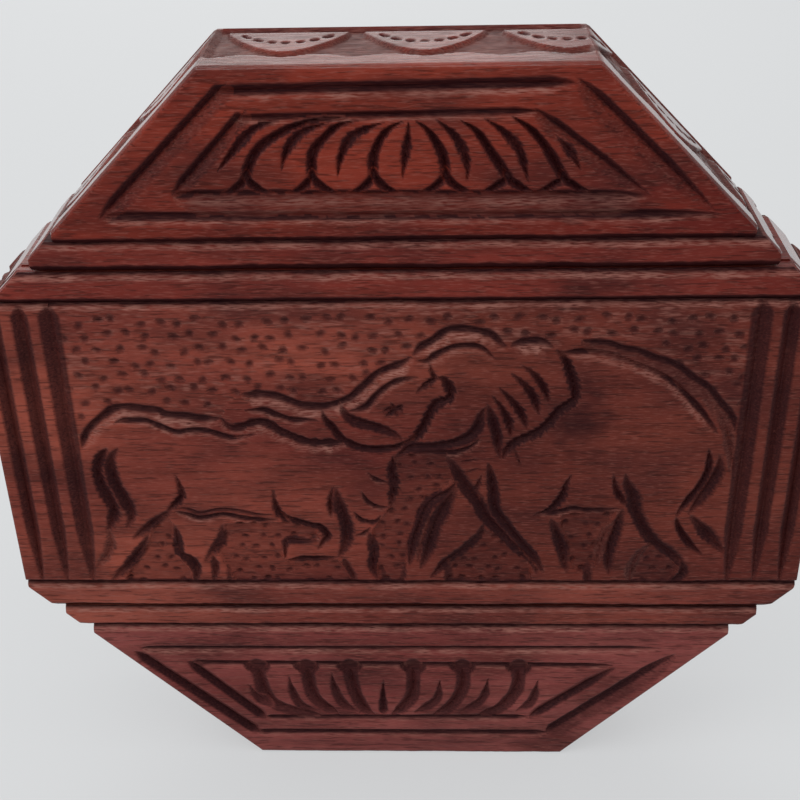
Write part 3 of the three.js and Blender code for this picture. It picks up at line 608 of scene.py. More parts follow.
def stained_grain():
    """Colour, roughness and relief of stained hardwood, with the grain along X"""
    group = bpy.data.node_groups.new("stained_grain", "ShaderNodeTree")
    for name, kind in (("Vector", "Vector"), ("Dark wood", "Color"), ("Light wood", "Color"),
                       ("End shade", "Float"), ("Stain and shade", "Float"), ("Torn and highlight", "Float")):
        group.interface.new_socket(name, in_out="INPUT", socket_type="NodeSocket" + kind)
    for name, kind in (("Colour", "Color"), ("Roughness", "Float"), ("Relief", "Float")):
        group.interface.new_socket(name, in_out="OUTPUT", socket_type="NodeSocket" + kind)
    given = group.nodes.new("NodeGroupInput").outputs
    result = group.nodes.new("NodeGroupOutput")

    def times(first, second):
        return calculate(group, "MULTIPLY", first, second)

    def plus(first, second):
        return calculate(group, "ADD", first, second)

    clouds = noise(group, given["Vector"], (0.35, 1, 1), 30, 3)
    smoke = noise(group, given["Vector"], (0.5, 1, 1), 75, 3)
    bands = noise(group, given["Vector"], (0.07, 1, 1), 520, 3)
    pores = noise(group, given["Vector"], (0.09, 1, 1), 2100, 2)
    fibres = noise(group, given["Vector"], (0.12, 1, 1), 3600, 2)
    wood = blend(group, ramp(group, clouds, 0.36, 0.64), given["Dark wood"], given["Light wood"])
    # Painted shade: the wood darkens towards one end, as light falling from the other side would give.
    wood = blend(group, given["End shade"], wood, (0.060, 0.0086, 0.0056, 1))
    for pattern, low, high, share, colour in (
            (smoke, 0.46, 0.70, 0.72, (0.055, 0.0110, 0.0105, 1)),
            (bands, 0.45, 0.70, 0.38, (0.052, 0.0085, 0.0050, 1)),
            (pores, 0.54, 0.64, 0.50, (0.022, 0.0045, 0.0035, 1)),
            (fibres, 0.52, 0.68, 0.23, (0.38, 0.135, 0.105, 1))):
        wood = blend(group, times(ramp(group, pattern, low, high), share), wood, colour)
    # Pale torn wood, partly a painted highlight on flanks and chamfers that face up.
    torn_and_highlight_mask = times(given["Torn and highlight"], ramp(group, fibres, 0.34, 0.58))
    wood = blend(group, times(torn_and_highlight_mask, 0.85), wood, (0.36, 0.15, 0.118, 1))
    # Darkest colour of the cuts: the carver's stain, and painted shade on flanks and chamfers that face
    # down.
    stain_and_shade_mask = times(given["Stain and shade"], ramp(group, fibres, 2.4, 0.3))
    wood = blend(group, stain_and_shade_mask, wood, (0.020, 0.0032, 0.0048, 1))
    rough = plus(times(ramp(group, pores, 0.4, 0.7), 0.08), 0.27)
    rough = plus(rough, times(given["Torn and highlight"], 0.25))
    rough = plus(rough, times(given["Stain and shade"], 0.25))
    relief = plus(times(ramp(group, pores, 0.50, 0.70), -0.8), times(fibres, 0.5))
    relief = plus(relief, times(times(given["Torn and highlight"], fibres), 1.2))
    feed(group, result, {"Colour": wood, "Roughness": rough, "Relief": relief})
    return group


grain_group = stained_grain()


def hardwood(name, dark_wood, light_wood, end_shade=(0, 0)):
    """Stained and varnished hardwood; the last pair gives how far painted shade darkens it
    at the left and right ends
    """
    material, tree, shader, place = new_material(name)
    marks = {}
    for socket, attribute in (("Stain and shade", "stain_and_shade"), ("Torn and highlight", "torn_and_highlight")):
        reader = add_node(tree, "Attribute", {})
        reader.attribute_name = attribute
        marks[socket] = reader.outputs["Fac"]
    grain = add_node(tree, "Group", {})
    grain.node_tree = grain_group
    feed(tree, grain, {"Vector": place, "Dark wood": dark_wood, "Light wood": light_wood, **marks})
    # Painted shade: a ramp along X darkens the wood towards one end.
    if end_shade != (0, 0):
        along = add_node(tree, "SeparateXYZ", {"Vector": place}).outputs["X"]
        feed(tree, grain, {"End shade": ramp(tree, along, -0.015, 0.020, end_shade[0], end_shade[1], "SMOOTHSTEP")})
    # The dull varnish shines where it is seen at a low angle, and the cuts darkened with stain and
    # painted shade stay dull.
    facing = add_node(tree, "LayerWeight", {}).outputs["Facing"]
    sheen = calculate(tree, "SUBTRACT", ramp(tree, facing, 0.78, 0.90, 0, 0.9), marks["Stain and shade"], clamp=True)
    feed(tree, shader, {
        "Base Color": grain.outputs["Colour"], "Roughness": grain.outputs["Roughness"],
        "Normal": bump(tree, grain.outputs["Relief"], 0.4, 0.00012), "Specular IOR Level": 0.09,
        "Coat Weight": sheen, "Coat Roughness": 0.22})
    return material


block_wood = hardwood("stained_block_wood", (0.128, 0.014, 0.0100, 1), (0.255, 0.036, 0.0200, 1))
base_wood = hardwood("stained_base_wood", (0.180, 0.037, 0.033, 1), (0.310, 0.080, 0.071, 1))


def finish(piece, material, body, node):
    """Hands a piece over with its only material"""
    piece.data.materials.clear()
    piece.data.materials.append(material)
    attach(piece, body)
    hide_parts(node)


def petal_gaps(face, foot, gaps, seed):
    """Deep gaps between petals, each forking at its foot round the rounded ends of the petals"""
    for i, points in enumerate(gaps):
        face.cut(points, [1.3, 2.1, 2.6, 2.6], 1.45, taper=(5, 0), ragged=0.06, teeth=0.12, seed=seed + i)
        x, z = points[-1]
        for side in (-1, 1):
            leg = [(x, z + 0.8), (x + 0.5 * side, z - 0.4), (x + 1.7 * side, foot + 1.2),
                   (x + 3.3 * side, foot + 0.1), (x + 5.6 * side, foot - 0.5)]
            face.cut(leg, [2.0, 2.3, 2.2, 1.9, 1.2], 1.45, taper=(0, 2), ragged=0.06, seed=seed + 12 + i)


def lower_petals(face):
    """A double border round lotus petals that fan up from the middle of the foot"""
    face.border([
        ((-65, 34.2), (60.5, 34.6), 3.0, 1.3, -0.30, (2, 8), 0.4, 0.9, 0.0),
        ((-39, 6.9), (34.5, 7.0), 3.0, 1.3, -0.20, (2, 3), 0.6, 0.5, 0.0),
        ((-66.5, 33.2), (-38, 6.6), 3.6, 1.5, 0.1, (3, 2), 0.5, 0.1, 0.5),
        ((64, 33), (34, 7.2), 6.0, 1.5, 0.35, (8, 2), 0.42, 0.1, 0.5),
        ((-53.5, 29.8), (49.5, 29.2), 2.6, 1.2, -0.25, (2, 6), 0.6, 0.6, 0.0),
        ((-36.5, 12.0), (29.5, 12.4), 2.4, 1.1, -0.25, (2, 3), 0.7, 0.5, 0.0),
        ((-54, 30.2), (-36, 11.4), 3.4, 1.4, 0.1, (3, 2), 0.6, 0.1, 0.5),
        ((50, 28.6), (29.5, 12.2), 3.4, 1.3, -0.2, (8, 3), 0.6, 0.1, 0.5)], 11)
    gaps = [[(-37, 29.3), (-36.5, 24), (-35.5, 19.5), (-33, 16), (-27.5, 13.5), (-21.5, 12.4)],
            [(-25, 29.3), (-24.5, 23), (-23.5, 18.5), (-21, 15.5), (-17.5, 12.8)],
            [(-14.5, 29.3), (-14, 23.5), (-13, 19), (-11, 14.5), (-8.5, 12.6)],
            [(1, 29.3), (1, 23.5), (0.5, 19), (-2, 15), (-4.8, 12.6)],
            [(13, 29.3), (13.2, 23.5), (12.2, 19.5), (9.5, 15), (5.5, 12.6)],
            [(26.6, 29.3), (26.6, 23.5), (25.4, 19.5), (22, 15), (16.5, 12.6)]]
    for i, points in enumerate(gaps):
        face.cut(points, [4.2, 4.0, 4.0, 4.0, 3.6, 2.6], 1.5, taper=(0, 3), stain_and_shade=0.82, ragged=0.05,
                 seed=30 + i)
        x = points[0][0]
        face.chip([(x - 4.0, 30.2), (x - 3.4, 28.2), (x - 1.6, 26.4), (x + 1.6, 25.4), (x + 3.2, 27.8),
                   (x + 3.6, 30.2)], 1.5, stain_and_shade=0.85)
    slits = [[(-39.5, 23), (-38, 19), (-33.5, 15)],
             [(-29.5, 26), (-29, 21), (-27, 16), (-22, 13.5)],
             [(-19, 27), (-18.5, 22), (-16.5, 16.5), (-12.5, 13.5)],
             [(7.5, 25), (6.6, 18), (1, 13.5)],
             [(19.4, 25.5), (17.8, 18), (12, 13.5)],
             [(31.5, 25), (30, 17.5), (26, 14)]]
    for i, points in enumerate(slits):
        face.cut(points, [0.9, 2.6, 3.2, 2.2], 1.0, taper=(5, 4), stain_and_shade=0.85, ragged=0.05, seed=40 + i)
    face.cut([(-6.3, 24.8), (-6.6, 18.5), (-6.5, 13)], [0.8, 2.2, 2.8], 1.0, taper=(5, 1.5), seed=47)
    face.dark_cloud(-20, 14.5, 14, 2.6, 0.5)
    face.dark_cloud(-5, 3.0, 45, 3.5, 0.35)
    face.dark_cloud(16, 14.5, 12, 2.6, 0.5)
    face.tool_marks(0.12, 50)


def facet_petals(face, centres):
    """A row of low petals left standing over an outer facet, each with a row of pits along its crown"""
    rim = -7.9 + 1.6 * np.sin(math.pi * (face.up - centres[0]) / 14) ** 2 + 0.3 * wobble(face.up, 7.0, 75)
    ground = np.minimum(face.across - rim, 13.0 - face.across)
    half = [(9.6, 12.0), (7.4, 11.4), (2.6, 8.6), (-1.6, 5.2), (-3.9, 2.2)]
    pits = [(6.4, -8.2, 1.9), (3.8, -5.6, 1.4), (2.4, -2.8, 0.7), (2.0, 0.0, 0.1), (2.5, 2.9, -0.5),
            (3.9, 5.6, -1.1), (6.2, 8.2, -1.7)]
    for i, centre in enumerate(centres):
        petal = [(y, centre - z) for y, z in half]
        petal += [(-4.6, centre)] + [(y, centre + z) for y, z in half[::-1]]
        found = face.near(np.array(petal), 3.0)
        distance = face.measure(np.array(petal + petal[:1]), found)[0]
        inside = is_inside(petal, face.across[found], face.up[found])
        ground[found] = np.minimum(ground[found], np.where(inside, -distance, distance))
        for j, (y, z, lean) in enumerate(pits):
            pit = [(y + lean * 0.7, centre + z - 1.1), (y - lean * 0.7, centre + z + 1.1)]
            face.cut(pit, 2.1, 0.7, taper=(0.8, 0.8), stain_and_shade=0.75, ragged=0.3, smooth=False,
                     seed=90 + 8 * i + j)
    sunk = np.clip(ground / 0.8, 0, 1)
    ends = np.clip((face.up - face.up.min()) / 1.5, 0, 1) * np.clip((face.up.max() - face.up) / 1.5, 0, 1)
    face.depth += ends * sunk * (0.85 + 0.14 * grit(face.across, face.up, 1.5, 1.5, 76))
    face.stain_and_shade = np.maximum(face.stain_and_shade, sunk * (0.55 + 0.15 * grit(face.across, face.up, 2.5, 2.5, 77)))
    face.torn_and_highlight = np.maximum(face.torn_and_highlight, 0.5 * sunk)


def notched(level, notch=side_notch):
    """The octagon's outline, cut back at the sides under the seam at a level"""
    reach = octagon_half(np.array(level)) - notch
    return lambda z: np.minimum(octagon_half(z), reach)


def base_facet(face, side):
    facet_petals(face, (14.0, 42.5))


base_block = shape_board(
    "base_block_carved", 0, base_top, notched(base_top), (390, 44, 104), low_edge=0.6,
    front_work=lower_petals, back_work=lower_petals, end_work=base_facet, seed=100)
# The groove for the tray's rib, and the bores of the peg and the two dowels
cut_away(base_block, [
    bar(-70.3, 100, -6.3, -3.7, 38.7, 42),
    round_bar(6, -9, 3.3, 32.7, 42),
    round_bar(-40, 7, 6.3, 25.7, 42),
    round_bar(40, 7, 6.3, 25.7, 42)])
finish(base_block, base_wood, "carcass", "base_block")


def bare_hardwood(name, along):
    """Unstained hardwood; along squeezes the grain's pattern lengthwise"""
    material, tree, shader, place = new_material(name)
    grain = noise(tree, place, along, 900, 4)
    feed(tree, shader, {
        "Base Color": blend(tree, grain, (0.27, 0.125, 0.058, 1), (0.46, 0.25, 0.125, 1)),
        "Roughness": 0.55, "Normal": bump(tree, grain, 0.4, 0.0001)})
    return material


def keep(material, *names):
    """Finishes CAD parts that stay as they are"""
    for name in names:
        nodes[name].material_slots[0].material = material


turned_wood = bare_hardwood("turned_dowel_wood", (1, 1, 0.08))
keep(turned_wood, "base_dowel_left", "base_dowel_right", "tray_stop_peg")

# Key tray, the board behind it and the floor board
# The layer over the foot is split lengthwise. Its rear half is glued down, and its front half
# is a tray that slides out to the right with the brass key lying in its pocket. The floor board
# of the compartment lies on both.
tray_top = 47.0
floor_top = 54.0
loose_chamfer = seam_chamfer - slide_gap
layer_wood = hardwood("stained_layer_wood", (0.185, 0.037, 0.027, 1), (0.330, 0.080, 0.053, 1))


def layer_marks(face):
    face.tool_marks(0.22, 210)


key_tray = shape_board(
    "key_tray_carved", base_top + slide_gap, tray_top - slide_gap, notched(tray_top), (380, 20, 16),
    ("front", "left", "right"), back=-3.0, low_edge=loose_chamfer, high_edge=loose_chamfer,
    front_work=layer_marks, edged=("front",), seed=200)
# The rib below is added; the key's pocket and the peg's groove are cut.
cut_away(key_tray, [bar(-59.5, 59.5, -6, -4, 39, 41.8)], "UNION")
cut_away(key_tray, [
    bar(12, 48, -12.5, -4.5, 43.2, 48),
    bar(-70.8, 7.8, -10.8, -7.2, 40, 44.3)])
finish(key_tray, layer_wood, "tray", "key_tray")


def to_metres(bm):
    """Scales a shape made in millimetres, and turns its faces outwards"""
    bmesh.ops.scale(bm, vec=(millimetre, millimetre, millimetre), verts=bm.verts)
    bmesh.ops.recalc_face_normals(bm, faces=bm.faces)


def worn_brass(name):
    """Old brass, dull where it has tarnished"""
    material, tree, shader, place = new_material(name)
    tarnish = noise(tree, place, (1, 1, 1), 420, 5)
    feed(tree, shader, {
        "Base Color": blend(tree, tarnish, (0.30, 0.17, 0.055, 1), (0.62, 0.41, 0.15, 1)), "Metallic": 1,
        "Roughness": ramp(tree, tarnish, 0, 1, 0.48, 0.22), "Normal": bump(tree, tarnish, 0.25, 0.00005)})
    return material


brass = worn_brass("worn_brass")
key_y = -8.5
key_z = 44.7
key_tip = 46.3
bow_x = 17.0
bow_radius = 2.85
bow_wire = (0.85, 1, 1.2)

# The key is brass: a ring bow, a turned pin with a collar and a hollow end, and a sawn bit.
bow = bmesh.new()
bmesh.ops.create_circle(bow, segments=16, radius=1)
bmesh.ops.rotate(bow, cent=(0, 0, 0), matrix=Matrix.Rotation(math.radians(90), 3, "X"), verts=bow.verts)
bmesh.ops.scale(bow, vec=bow_wire, verts=bow.verts)
bmesh.ops.translate(bow, vec=(bow_radius, 0, 0), verts=bow.verts)
bmesh.ops.spin(bow, geom=bow.edges[:] + bow.verts[:], cent=(0, 0, 0), axis=(0, 0, 1), angle=math.tau,
               steps=48, use_merge=True)
bmesh.ops.translate(bow, vec=(bow_x, key_y, key_z), verts=bow.verts)
to_metres(bow)
key = new_object("key_turned", bow)

pin = bmesh.new()
pin_profile = [(19.3, 0), (19.3, 0.9), (20.4, 1.0), (20.8, 1.35), (21.5, 1.35), (21.9, 1.05), (23.0, 1.05),
               (23.3, 1.3), (23.8, 1.3), (24.1, 1.15), (45.9, 1.15), (key_tip, 0.95), (key_tip, 0.6),
               (43.5, 0.6), (43.5, 0)]
turned = [pin.verts.new((x, r, 0)) for x, r in pin_profile]
for first, second in zip(turned, turned[1:]):
    pin.edges.new((first, second))
bmesh.ops.spin(pin, geom=pin.edges[:] + pin.verts[:], cent=(0, 0, 0), axis=(1, 0, 0), angle=math.tau,
               steps=32, use_merge=True)
bmesh.ops.remove_doubles(pin, verts=pin.verts, dist=0.001)
bmesh.ops.translate(pin, vec=(0, key_y, key_z), verts=pin.verts)
to_metres(pin)

bit = bmesh.new()
bit_outline = [(43.3, 0), (43.3, 3.6), (44.4, 3.6), (44.4, 2.7), (45.2, 2.7), (45.2, 3.6), (key_tip, 3.6),
               (key_tip, 0)]
bit_thickness = 1.6
bit_bottom = key_z - bit_thickness / 2
bit_face = bit.faces.new([bit.verts.new((x, key_y + y, bit_bottom)) for x, y in bit_outline])
grown = bmesh.ops.extrude_face_region(bit, geom=[bit_face])
moved = [v for v in grown["geom"] if isinstance(v, bmesh.types.BMVert)]
bmesh.ops.translate(bit, vec=(0, 0, bit_thickness), verts=moved)
bmesh.ops.recalc_face_normals(bit, faces=bit.faces)
bmesh.ops.bevel(bit, geom=bit.edges[:], offset=0.12, segments=2, profile=0.5, affect="EDGES", material=-1)
to_metres(bit)
cut_away(key, [pin, bit], "UNION")
finish(key, brass, "tray", "key")

base_board = shape_board(
    "base_board_carved", base_top, tray_top, notched(tray_top), (380, 28, 16), ("back", "left", "right"),
    front=-2.7, back_work=layer_marks, seed=220)
finish(base_board, layer_wood, "carcass", "base_board")

floor_board = shape_board(
    "floor_board_carved", tray_top, floor_top, octagon_half, (400, 48, 20), front_work=layer_marks,
    back_work=layer_marks, seed=240)
finish(floor_board, layer_wood, "carcass", "floor_board")
keep(turned_wood, "floor_dowel_left", "floor_dowel_right")

# Front panel
# A thin board between the end blocks. Two elephants greet each other on it: their outlines are
# stopped in with a knife, their legs are freed from a sunk ground, and the ground is matted with
# the point of a nail.
panel_top = 127.0
panel_thickness = 7.5
panel_inner = half_depth - panel_thickness
# The panel's wood is painted darker towards its right end: painted shade, as the light from the left would
# give.
panel_wood = hardwood("stained_panel_wood", (0.128, 0.020, 0.0160, 1), (0.315, 0.068, 0.043, 1), (0.0, 0.5))

# Each kind of cut: width, depth, lean, taper, darkening by stain and painted shade, raggedness, teeth,
# pale torn wood with a painted highlight, and the reach and wash of the stain and shade
cut_kinds = {
    "outline": (4.6, 1.25, -0.50, (3, 4), 1.0, 0.14, 0.0, 1.0, 0.42, 0.0),
    "ridge": (4.8, 1.25, -0.50, (3, 4), 1.0, 0.12, 0.0, 0.3, 0.36, 0.5),
    "bevel": (3.5, 1.1, -0.45, (4, 6), 1.0, 0.12, 0.0, 0.6, 0.44, 0.0),
    "crease": (2.6, 1.0, -0.25, (4, 5), 1.0, 0.12, 0.0, 0.6, 0.60, 0.0),
    "under": (4.3, 1.4, -0.30, (5, 4), 1.0, 0.18, 0.1, 1.0, 0.50, 0.0),
    "line": (2.4, 1.2, 0.0, (4, 5), 1.0, 0.10, 0.14, 0.0, 1.0, 0.0),
    "wide": (3.2, 1.2, 0.0, (5, 6), 1.0, 0.10, 0.18, 0.0, 1.0, 0.0),
    "broad": (3.9, 1.3, 0.1, (6, 7), 1.0, 0.10, 0.18, 0.0, 0.8, 0.6),
    "slash": (2.6, 1.2, 0.1, (7, 4), 1.0, 0.10, 0.42, 0.0, 1.0, 0.0),
    "rough": (3.0, 1.3, 0.1, (4, 4), 1.0, 0.12, 0.42, 0.2, 0.9, 0.0),
    "soft": (3.2, 0.9, 0.0, (4, 4), 0.55, 0.15, 0.2, 0.3, 1.0, 0.0),
    "tail": (3.8, 1.3, 0.15, (3, 5), 1.0, 0.12, 0.30, 0.0, 0.8, 0.6),
    "scallop": (2.0, 1.0, -0.2, (3, 3), 1.0, 0.12, 0.20, 0.5, 0.8, 0.0),
    "fine": (1.3, 0.6, 0.0, (3, 3), 0.9, 0.15, 0.0, 0.0, 1.0, 0.0),
    "star": (2.1, 1.0, 0.0, (1.5, 1.5), 1.0, 0.30, 0.0, 0.0, 1.0, 0.0),
}

# Soft clouds of extra darkening: middle, half sizes and strength
dark_clouds = [(37.5, 98.5, 8.0, 9.5, 0.66), (-8, 80, 6.0, 7.5, 0.38), (9, 88, 9.0, 4.5, 0.35),
           (26, 88, 8.0, 4.0, 0.3), (12.0, 107, 3.2, 4.6, 0.32), (24, 83, 9.0, 4.0, 0.25),
           (69, 104, 4.0, 9.0, 0.30), (-19, 108, 6.0, 3.5, 0.28), (56, 119, 9.0, 4.0, 0.25)]

large_elephant = [
    ("outline", [(-35, 105.5), (-32.5, 105.5), (-30, 105.5), (-27, 105), (-22.5, 103), (-20, 102.5),
                 (-17, 102.5), (-12.5, 104), (-10, 106), (-8, 108), (-6, 110.2), (-3.5, 111.6), (-1, 112.6),
                 (2, 114.5)]),
    ("outline", [(2, 114.5), (3.5, 116.5), (6.5, 118.5), (9, 120.5), (12, 121), (15.5, 120.5),
                 (18.5, 119.5), (20.5, 117.5), (22, 116.5)]),
    ("outline", [(22.5, 116.5), (23.5, 117.5), (26, 118), (29, 118), (31.5, 116.5)]),
    ("bevel", [(2.5, 113.5), (5, 113.5), (7, 115), (10, 116.5), (13.5, 117), (16.5, 116.5), (19.5, 113.5)]),
    ("slash", [(5.5, 113), (6, 110.5), (6.5, 109), (5, 108), (2.5, 105.5)]),
    ("rough", [(6.5, 109), (8.5, 109), (10, 106), (9.5, 104), (7, 103), (5.5, 100.5), (4, 97), (2, 94),
               (-1.5, 91.5)]),
    ("star", [(-4.6, 101), (-2.5, 101.6), (0, 101)]),
    ("star", [(-2.8, 103.3), (-2, 101.5), (-1.4, 99.6)]),
    ("star", [(-4.2, 99.8), (-2, 101.2), (0, 102.8)]),
    ("crease", [(-34.5, 101.5), (-32.5, 101.5), (-30, 101.5), (-28, 100.5), (-25.5, 99.5), (-23.5, 99),
                (-20.5, 99), (-18, 98.5)]),
    ("under", [(-39.5, 99), (-38.5, 97.6), (-36.5, 96.9), (-33.5, 98), (-31.5, 98.5), (-29.5, 98),
               (-27, 96), (-25, 95), (-22, 93.5), (-19, 93), (-16, 93), (-12, 93)]),
    ("line", [(-17.8, 101.5), (-17, 99), (-15.5, 97), (-14, 94.5), (-12, 93), (-10, 92), (-7.5, 91.5),
              (-4.5, 91.5), (-1.5, 92), (1, 93.5), (2.5, 95.5)]),
    ("wide", [(-13.8, 103), (-13, 101), (-11.5, 99.2), (-9.5, 98.2), (-6.5, 97.2), (-4, 96.2), (-1.5, 94.8),
              (-0.5, 93.5)]),
    ("crease", [(-12.5, 101), (-10, 101.5), (-8, 102.5), (-6.5, 104.5), (-4.5, 106.5), (-2.5, 108),
                (0, 109), (3.5, 109.5)]),
    ("wide", [(-2.5, 88.5), (-0.5, 90.5), (1.5, 91.8), (6, 92), (10.5, 93), (13.8, 94.5), (15.8, 97),
              (16.5, 100), (18, 102.5)]),
    ("crease", [(1.5, 90), (4.5, 90.5), (7.5, 90.5), (10.5, 90.5), (13.5, 91.5), (15.5, 93), (16.5, 94.5)]),
    ("wide", [(17.8, 103), (19, 99), (20, 95), (20.3, 92), (21, 88.6)]),
    ("slash", [(24, 91.5), (24.5, 89.5), (25.5, 87)]),
    ("slash", [(18.8, 105), (21, 101.5), (22.5, 98), (23, 94.5)]),
    ("slash", [(20.2, 107), (23, 103.5), (25, 100.5), (26.5, 96.5)]),
    ("slash", [(22.6, 110.5), (25.5, 107.5), (27.5, 104.5), (29, 100)]),
    ("slash", [(24.6, 112.5), (27.5, 110), (29.5, 107), (31, 103)]),
    ("rough", [(32, 116), (34, 113.5), (35, 110.5), (36, 107.5), (36.4, 104.5), (35.5, 103), (33.5, 101.5),
               (32, 99.5), (31, 98), (28.5, 95.5), (24.5, 93.5), (22.5, 91.5), (21.3, 88.6)]),
    ("bevel", [(32.5, 115), (36, 115.5), (40, 115.5), (44, 114.5), (47.5, 113), (51, 111.5), (54, 110),
               (57, 108), (60, 105), (62.5, 102), (65, 99), (67.5, 95)]),
    ("ridge", [(37, 118), (40.5, 117.5), (43.5, 117), (46, 116), (49, 115.5), (52, 114), (55, 113),
               (58, 111.5), (61, 109), (64.5, 106.5), (66.5, 104), (68.5, 101.5), (70.5, 98.5), (72, 94.5)]),
    ("soft", [(66, 102), (68, 99), (69.5, 96), (70.5, 92), (71.5, 88), (72.3, 83)]),
    ("broad", [(68.5, 90), (68.7, 86), (67, 81.5), (65, 77.5), (63, 73.8)]),
    ("line", [(66, 91.5), (66.5, 86.5), (65.2, 82), (63.2, 78.5), (61.2, 75), (60.5, 73)]),
    ("line", [(60.5, 73.5), (61.5, 70), (64, 66), (67.5, 62.5)]),
    ("broad", [(63.5, 74), (66.5, 70), (69.5, 66.5), (72.5, 63)]),
    ("slash", [(36.8, 85), (35.5, 82), (35, 79.5), (34, 77.5), (32, 75), (28.5, 73.6)]),
    ("slash", [(45.8, 85), (46.5, 81), (48, 78), (49.8, 76)]),
    ("crease", [(29, 74.5), (32, 74.2), (35.5, 75), (37.5, 75.5), (41.5, 75), (48, 75.5)]),
    ("broad", [(9, 90), (11.5, 85), (13, 82), (15, 79), (16.5, 76.5), (18, 73), (20.5, 70), (25, 64.5),
               (29, 60.5), (30, 57)]),
    ("wide", [(18.2, 88), (19, 84), (19.5, 80), (20, 75.5), (22, 72), (24, 69), (26.5, 65.5), (29, 62),
              (31.5, 57.5)]),
    ("slash", [(17, 85), (16, 82), (15.5, 80.5), (16.5, 77.5)]),
    ("wide", [(17.5, 71.5), (16.5, 68), (14.5, 65.5), (12, 63), (9, 60.5), (7, 58), (5.2, 55.8)]),
    ("broad", [(9.3, 61), (9.5, 57), (9, 52)]),
    ("fine", [(11.5, 88), (14.5, 88.5), (16.5, 89)]),
    ("fine", [(13, 85), (15, 86), (17, 86.5)]),
    ("broad", [(32.5, 73), (33.5, 70), (34.5, 67), (35.5, 64), (36, 60.5), (37, 57.5)]),
    ("broad", [(41.5, 61), (41.5, 57), (42, 52)]),
    ("broad", [(48.5, 75.5), (47.5, 71), (46.5, 66.5), (46, 62.5), (46.5, 57)]),
    ("soft", [(47, 72), (45, 68.5), (44, 64), (43.5, 59.5)]),
    ("broad", [(48.5, 85), (49, 82), (50.5, 79), (51, 76), (52.5, 72), (54.5, 68.5), (57, 65.5), (60, 63),
               (62.5, 60.5), (64.5, 58.5)]),
    ("soft", [(55.5, 66), (53, 62.5), (51.5, 58.5), (51.5, 53.5)]),
    ("wide", [(62.8, 61.5), (63.5, 57.5), (61.5, 55), (60, 52)]),
    ("soft", [(7.5, 76), (5, 71), (3.5, 65.5), (2.5, 60.5)]),
    ("wide", [(11.5, 83), (9.5, 80), (6.5, 78), (4.5, 75.5), (3, 71), (1.5, 66), (0.5, 59.5)]),
    ("broad", [(11.5, 81.5), (9.5, 77.5), (8, 74.5), (6.5, 71), (5.5, 67), (4.5, 63), (3, 58.5)]),
    ("slash", [(-6, 59.5), (-5.5, 56.5), (-5.5, 53.5)]),
    ("slash", [(-0.5, 60.5), (-1, 56.5), (-2, 53.5)]),
]

